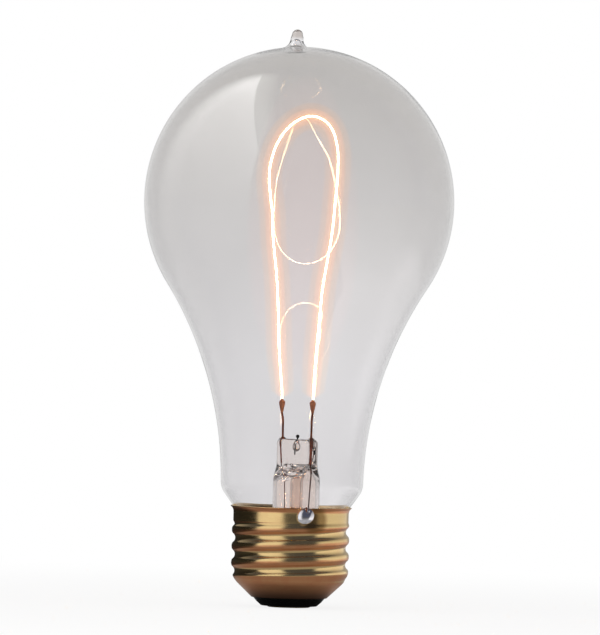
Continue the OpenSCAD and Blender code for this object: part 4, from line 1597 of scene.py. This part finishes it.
@dataclass(frozen=True)
class Card(Finish):
    """A lit or dark card that stands on the table beside the cap, with soft sides and a
    dimmer top. Only the brass and the solder mirror it."""

    from_deg: float
    to_deg: float
    height: float
    brightness: float
    foot: float = 0.0
    soft: float = 10.0
    distance: float = 50.0
    dimmer: float = 0.4
    dimmer_h: float = 0.2

    def ends(self) -> list[Vector]:
        """The two ends of the card's foot, at their angles from the front of the bulb."""
        return [Vector((math.sin(a), -math.cos(a), 0)) * self.distance
                for a in (math.radians(self.from_deg), math.radians(self.to_deg))]

    def dress(self, tree: bpy.types.NodeTree, shader: bpy.types.Node) -> None:
        """Lights the card's face and fades its sides out, and all of it for glass.

        Args:
            tree: The material's node tree.
            shader: Its Principled node.
        """
        start, end = self.ends()
        middle, half = (start + end) / 2, (end - start).length / 2
        place = add_node(tree, "TexCoord").outputs["Object"]
        z = add_node(tree, "SeparateXYZ", (place,)).outputs["Z"]
        fade = add_node(tree, "MapRange", (
            z, self.height * MM, self.height * self.dimmer_h * MM, self.brightness * self.dimmer,
            self.brightness,
        ), interpolation_type="SMOOTHSTEP")
        face = add_node(tree, "Emission", {"Strength": fade})
        level = add_node(tree, "VectorMath", (place, (1, 1, 0)), operation="MULTIPLY")
        off = add_node(tree, "VectorMath", (level, tuple(middle * MM)),
                       operation="DISTANCE")
        side = add_node(tree, "MapRange", (off, *metres((half - self.soft, half))),
                        interpolation_type="SMOOTHSTEP")
        path = add_node(tree, "LightPath").outputs
        in_glass = add_node(tree, "Math", (path[Ray.BENT.value], path[Ray.SHARP.value]),
                            operation="ADD")
        unseen = add_node(tree, "Math", (side, in_glass), operation="ADD",
                          use_clamp=True)
        both = add_node(tree, "MixShader", (
            unseen, face, add_node(tree, "BsdfTransparent")))
        feed(tree.nodes["Material Output"], {"Surface": both})

    def build(self) -> None:
        """Adds the card."""
        ends = self.ends()
        select_nothing()
        bpy.ops.mesh.primitive_plane_add(size=MM)
        card = take(self.name)
        move_vertices(card, lambda p, n: ends[p.x > 0] + Vector((
            0, 0, mix(self.foot, self.height, p.y + 0.5))))
        card.data.materials.append(self.material())
        card.visible_camera = card.visible_diffuse = card.visible_transmission = False
        card.visible_shadow = False


@dataclass(frozen=True)
class Edge:
    """A straight side of the lit panel. A direction is inside it where
    by_across * across + by_up * up + offset is positive."""

    by_across: float
    by_up: float
    offset: float
    soft: float
    spill: float = 0.0
    spilt: float = 0.4

    def inside(
        self, tree: bpy.types.NodeTree, across: bpy.types.Node, up: bpy.types.Node
    ) -> bpy.types.Node:
        """Tells what lies inside the edge, with the light that spills over it.

        Args:
            tree: The node tree that asks.
            across: The direction's forward part over its part to the left.
            up: Its upward part over its part to the left.

        Returns:
            A node that gives 1 inside the edge and 0 well outside.
        """
        first = add_node(tree, "Math", (across, self.by_across, self.offset),
                         operation="MULTIPLY_ADD")
        line = add_node(tree, "Math", (up, self.by_up, first),
                        operation="MULTIPLY_ADD")
        lit = add_node(tree, "MapRange", (line, -self.soft, self.soft),
                       interpolation_type="SMOOTHSTEP")
        if not self.spill:
            return lit
        faint = add_node(tree, "MapRange", (line, -3 * self.spill, self.spill),
                         interpolation_type="SMOOTHSTEP")
        return add_node(tree, "Mix", {0: self.spilt, NUMBER_A: lit, NUMBER_B: faint},
                        data_type="FLOAT")


@dataclass(frozen=True)
class Room:
    """What mirrors show of the studio: a dim room with a white backdrop behind the bulb and a
    tall lit panel on its left. Where two brightnesses stand, the first is for what the glass's
    outer face mirrors, the second for what has passed through glass."""

    dark: float = 0.13
    ambient: float = 0.5
    dark_tint: str = "#D6DEFF"
    backdrop_rise: float = 0.07
    backdrop_spread: float = 0.16
    backdrop_edge: Flat = (0.36, 1.0)
    backdrop_for_metal: float = 0.45
    backdrop_light: Flat = (0.65, 0.85)
    panel_light: Flat = (3.6, 2.4)
    panel_rise: Flat = (-0.4, 2.2)
    panel_near: float = 0.05
    panel_behind: Flat = (0.02, 0.1)
    panel_front: Edge = Edge(-1, 0.266, 0.6, 0.4)
    panel_edges: tuple[Edge, ...] = (Edge(1, 0, 1.33, 0.06, 0.5), Edge(0.68, -1, 2.12, 0.05, 0.9))

    def seen_plainly(self, tree: bpy.types.NodeTree) -> bpy.types.Node:
        """Tells a ray that comes from the camera, straight or through glass, from all others.

        Args:
            tree: The node tree that asks.

        Returns:
            A node that gives 1 for such a ray and else 0.
        """
        path = add_node(tree, "LightPath").outputs
        straight = add_node(tree, "Math", (
            path[Ray.CAMERA.value], path[Ray.THROUGH.value]), operation="MAXIMUM")
        turned = add_node(tree, "Math", (
            path[Ray.MIRRORED.value], path[Ray.SCATTERED.value]), operation="ADD")
        return add_node(tree, "Math", (straight, turned), operation="SUBTRACT",
                        use_clamp=True)

    def in_mirror(self, tree: bpy.types.NodeTree) -> bpy.types.Node:
        """Tells a ray that was mirrored: a node that gives 1 for it and else 0."""
        times = add_node(tree, "LightPath").outputs[Ray.MIRRORED.value]
        return add_node(tree, "Math", (times, 0.5), operation="GREATER_THAN")

    def backdrop(self, tree: bpy.types.NodeTree, way: bpy.types.NodeSocketCollection
                 ) -> bpy.types.Node:
        """Draws the white backdrop behind the bulb in the dim room.

        Args:
            tree: The node tree that asks.
            way: The mirrored direction's X, Y and Z.

        Returns:
            The room's brightness in that direction.
        """
        behind = add_node(tree, "Math", (way["Z"], self.backdrop_rise, way["Y"]),
                          operation="MULTIPLY_ADD")
        sideways = add_node(tree, "Math", (way["X"],), operation="ABSOLUTE")
        wide = add_node(tree, "Math", (sideways, self.backdrop_spread, behind),
                        operation="MULTIPLY_ADD")
        path = add_node(tree, "LightPath").outputs
        outer, inner = self.backdrop_light
        outside = add_node(tree, "MapRange", (
            path[Ray.SHARP.value], 0.0, 1.0, self.backdrop_for_metal, outer))
        white = add_node(tree, "MapRange", (
            path[Ray.BENT.value], 0.0, 1.0, outside, inner))
        return add_node(tree, "MapRange", (wide, *self.backdrop_edge, self.dark, white))

    def left_panel(self, tree: bpy.types.NodeTree, way: bpy.types.NodeSocketCollection
                   ) -> bpy.types.Node:
        """Draws the lit panel, brighter towards its top, which only glass mirrors.

        A direction is placed on the panel by its forward and upward parts over its part to
        the left.

        Args:
            tree: The node tree that asks.
            way: The direction's X, Y and Z.

        Returns:
            The panel's brightness in that direction.
        """
        left = add_node(tree, "Math", (way["X"], -1.0), operation="MULTIPLY")
        there = add_node(tree, "Math", (left, self.panel_near), operation="MAXIMUM")
        across, up = (add_node(tree, "Math", (way[axis], there), operation="DIVIDE")
                      for axis in "YZ")
        path = add_node(tree, "LightPath").outputs
        lit = add_node(tree, "MapRange", (path[Ray.BENT.value], 0.0, 1.0,
                                                    *self.panel_light))
        bright = add_node(tree, "MapRange", (up, *self.panel_rise, 0.0, lit))
        for side in (self.panel_front.inside(tree, across, up),
                     add_node(tree, "MapRange", (left, *self.panel_behind)),
                     path[Ray.SHARP.value],
                     *(edge.inside(tree, across, up) for edge in self.panel_edges)):
            bright = add_node(tree, "Math", (bright, side), operation="MULTIPLY")
        return bright

    def build(self) -> None:
        """Sets the world: white to the eye, and the room in mirrors."""
        world = bpy.data.worlds.new("white studio")
        bpy.context.scene.world = world
        world.use_nodes = True
        world.cycles.sampling_method = "NONE"
        tree = world.node_tree
        ahead = add_node(tree, "TexCoord").outputs["Generated"]
        way = add_node(tree, "SeparateXYZ", (ahead,)).outputs
        room = add_node(tree, "Math", (
            self.backdrop(tree, way), self.left_panel(tree, way)), operation="ADD")
        turned = add_node(tree, "Mix", {
            0: self.in_mirror(tree), NUMBER_A: self.ambient, NUMBER_B: room}, data_type="FLOAT")
        strength = add_node(tree, "Mix", {
            0: self.seen_plainly(tree), NUMBER_A: turned, NUMBER_B: 1.0}, data_type="FLOAT")
        lit = add_node(tree, "MapRange", (strength, self.dark, 3 * self.dark))
        colour = add_node(tree, "Mix", {
            0: lit, MIX_A: linear(self.dark_tint), MIX_B: linear("#FFFFFF"),
        }, data_type="RGBA")
        feed(tree.nodes["Background"], {"Color": colour, "Strength": strength})


@dataclass(frozen=True)
class Table(Finish):
    """The table: pale paper that keeps the bulb's shadow and fades into the white. Mirrors
    show the room in it, with a painted pool of light round the bulb and a painted shadow under the
    cap."""

    room: Room = Room()
    paper: str = "#F2F1F0"
    roughness: float = 0.9
    shine: float = 0.1
    radius: float = 6000.0
    gap: float = 0.02
    white_mm: Flat = (60.0, 260.0)
    white: Flat = (0.85, 1.0)
    seen_from: float = 31.93
    # Painted shadow under the cap, as mirrors see the table: its reach and its light
    shadow_reach_mm: Flat = (7.5, 15.0)
    under: Flat = (0.05, 1.0)
    slant: float = 0.25
    behind: Flat = (-0.3, 0.75)
    behind_light: float = 0.8
    pool_mm: Flat = (30.0, 160.0)
    pool: float = 0.42
    far_mm: Flat = (130.0, 360.0)

    def mirrored(self, tree: bpy.types.NodeTree, place: bpy.types.NodeSocket,
                 away: bpy.types.Node) -> bpy.types.Node:
        """Draws the table as mirrors show it, with a painted shadow under the cap.

        Args:
            tree: The material's node tree.
            place: The point on the table.
            away: Its distance from the bulb's axis.

        Returns:
            The table's brightness there.
        """
        from_bulb = add_node(tree, "VectorMath", (place, (0, 0, self.seen_from * MM)),
                             operation="SUBTRACT")
        ahead = add_node(tree, "VectorMath", (from_bulb,), operation="NORMALIZE")
        way = add_node(tree, "SeparateXYZ", (ahead,)).outputs
        slanted = add_node(tree, "Math", (way["X"], self.slant, way["Y"]),
                           operation="MULTIPLY_ADD")
        beside = add_node(tree, "MapRange", (
            slanted, *self.behind, self.room.dark, self.behind_light,
        ), interpolation_type="SMOOTHSTEP")
        # The first is a painted shadow under the cap, the second a painted pool of light round the
        # bulb
        mirrored_shadow, outer, far = (
            add_node(tree, "MapRange", (away, *metres(span), *light),
                     interpolation_type="SMOOTHSTEP")
            for span, light in ((self.shadow_reach_mm, self.under), (self.pool_mm, (self.pool, beside)),
                                (self.far_mm, (1.0, 0.0))))
        pool = add_node(tree, "Math", (outer, far), operation="MULTIPLY")
        room = add_node(tree, "Math", (pool, self.room.backdrop(tree, way)),
                        operation="MAXIMUM")
        lit = add_node(tree, "Math", (room, self.room.left_panel(tree, way)),
                       operation="ADD")
        return add_node(tree, "Math", (lit, mirrored_shadow), operation="MULTIPLY")

    def dress(self, tree: bpy.types.NodeTree, shader: bpy.types.Node) -> None:
        """Sets the paper, the white far off, and what mirrors show.

        Args:
            tree: The material's node tree.
            shader: Its Principled node.
        """
        feed(shader, {"Base Color": linear(self.paper), "Roughness": self.roughness,
                      "Specular IOR Level": self.shine})
        place = add_node(tree, "TexCoord").outputs["Object"]
        away = add_node(tree, "VectorMath", (place,), operation="LENGTH")
        whiter = add_node(tree, "MapRange", (away, *metres(self.white_mm), *self.white),
                          interpolation_type="SMOOTHSTEP")
        white = add_node(tree, "Emission", {"Strength": 1.0})
        pale = add_node(tree, "MixShader", (whiter, shader, white))
        dim = add_node(tree, "Emission", {
            "Strength": self.mirrored(tree, place, away)})
        turned = add_node(tree, "MixShader", (self.room.in_mirror(tree), shader, dim))
        both = add_node(tree, "MixShader", (
            self.room.seen_plainly(tree), turned, pale))
        feed(tree.nodes["Material Output"], {"Surface": both})

    def build(self) -> None:
        """Adds the table, a hair under the bulb's contact."""
        select_nothing()
        bpy.ops.mesh.primitive_circle_add(vertices=96, radius=self.radius * MM,
                                          fill_type="NGON", location=(0, 0, -self.gap * MM))
        table = take("table")
        table.data.materials.append(self.material())


@dataclass
class Studio:
    """A pale table in front of a white background, soft lamps, cards and the camera."""

    frame_h: float = 139.95
    aim: Point = (0.83, 0.0, 63.86)
    distance: float = 1500.0
    roll: float = 1.5
    sensor: float = 36.0
    see_m: float = 100.0
    bounces: int = 24
    mirror_bounces: int = 16
    indirect_limit: float = 24.0
    lamps: tuple[SoftLamp, ...] = (
        SoftLamp("left lamp", (-684, -439, 621), (1500, 1100), 0.9),
        SoftLamp("right lamp", (620, -160, 260), (600, 500), 0.8),
        SoftLamp("overhead lamp", (0, 60, 1500), (1400, 1400), 0.5))
    cards: tuple[Card, ...] = (
        Card("left card", from_deg=-8.4, to_deg=-67, height=110, brightness=1.05, foot=4),
        Card("right card", from_deg=44, to_deg=138, height=38, brightness=1.05, foot=4),
        Card("black card", from_deg=-60, to_deg=-165, height=26, brightness=0.04, soft=6))

    def build_camera(self) -> None:
        """Adds the camera: level, far off, with the slight roll of the photograph."""
        select_nothing()
        bpy.ops.object.camera_add(location=Vector((self.aim[0], -self.distance, self.aim[2])) * MM)
        camera = bpy.context.active_object
        upright = Matrix.Rotation(math.pi / 2, 4, "X")
        rolled = upright @ Matrix.Rotation(math.radians(self.roll), 4, "Z")
        camera.rotation_euler = rolled.to_euler()
        camera.data.sensor_width = self.sensor
        camera.data.lens = self.sensor * self.distance / self.frame_h
        camera.data.clip_end = self.see_m
        bpy.context.scene.camera = camera

    def build(self) -> None:
        """Builds the studio, and sets the view transform and how far light is followed."""
        Room().build()
        Table("pale paper").build()
        for thing in (*self.lamps, *self.cards):
            thing.build()
        self.build_camera()
        bpy.context.scene.view_settings.view_transform = "Standard"
        cycles = bpy.context.scene.cycles
        cycles.max_bounces = self.bounces
        cycles.transmission_bounces = cycles.transparent_max_bounces = self.bounces
        cycles.glossy_bounces = self.mirror_bounces
        cycles.sample_clamp_indirect = self.indirect_limit


def main() -> None:
    logging.basicConfig(level=logging.INFO, format="%(message)s")
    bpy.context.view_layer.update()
    mount = Mount()
    Envelope.from_frame().build()
    mount.build_stem()
    mount.build_exhaust()
    mount.build_anchor()
    Leads(mount).build()
    filament = Filament(mount)
    filament.build()
    ScrewShell.from_frame().build()
    Base().build()
    SideSolder().build()
    dress_cement()
    Studio().build()
    filament.build_veil()
    filament.build_halo()
    select_nothing()


if __name__ == "__main__":
    main()
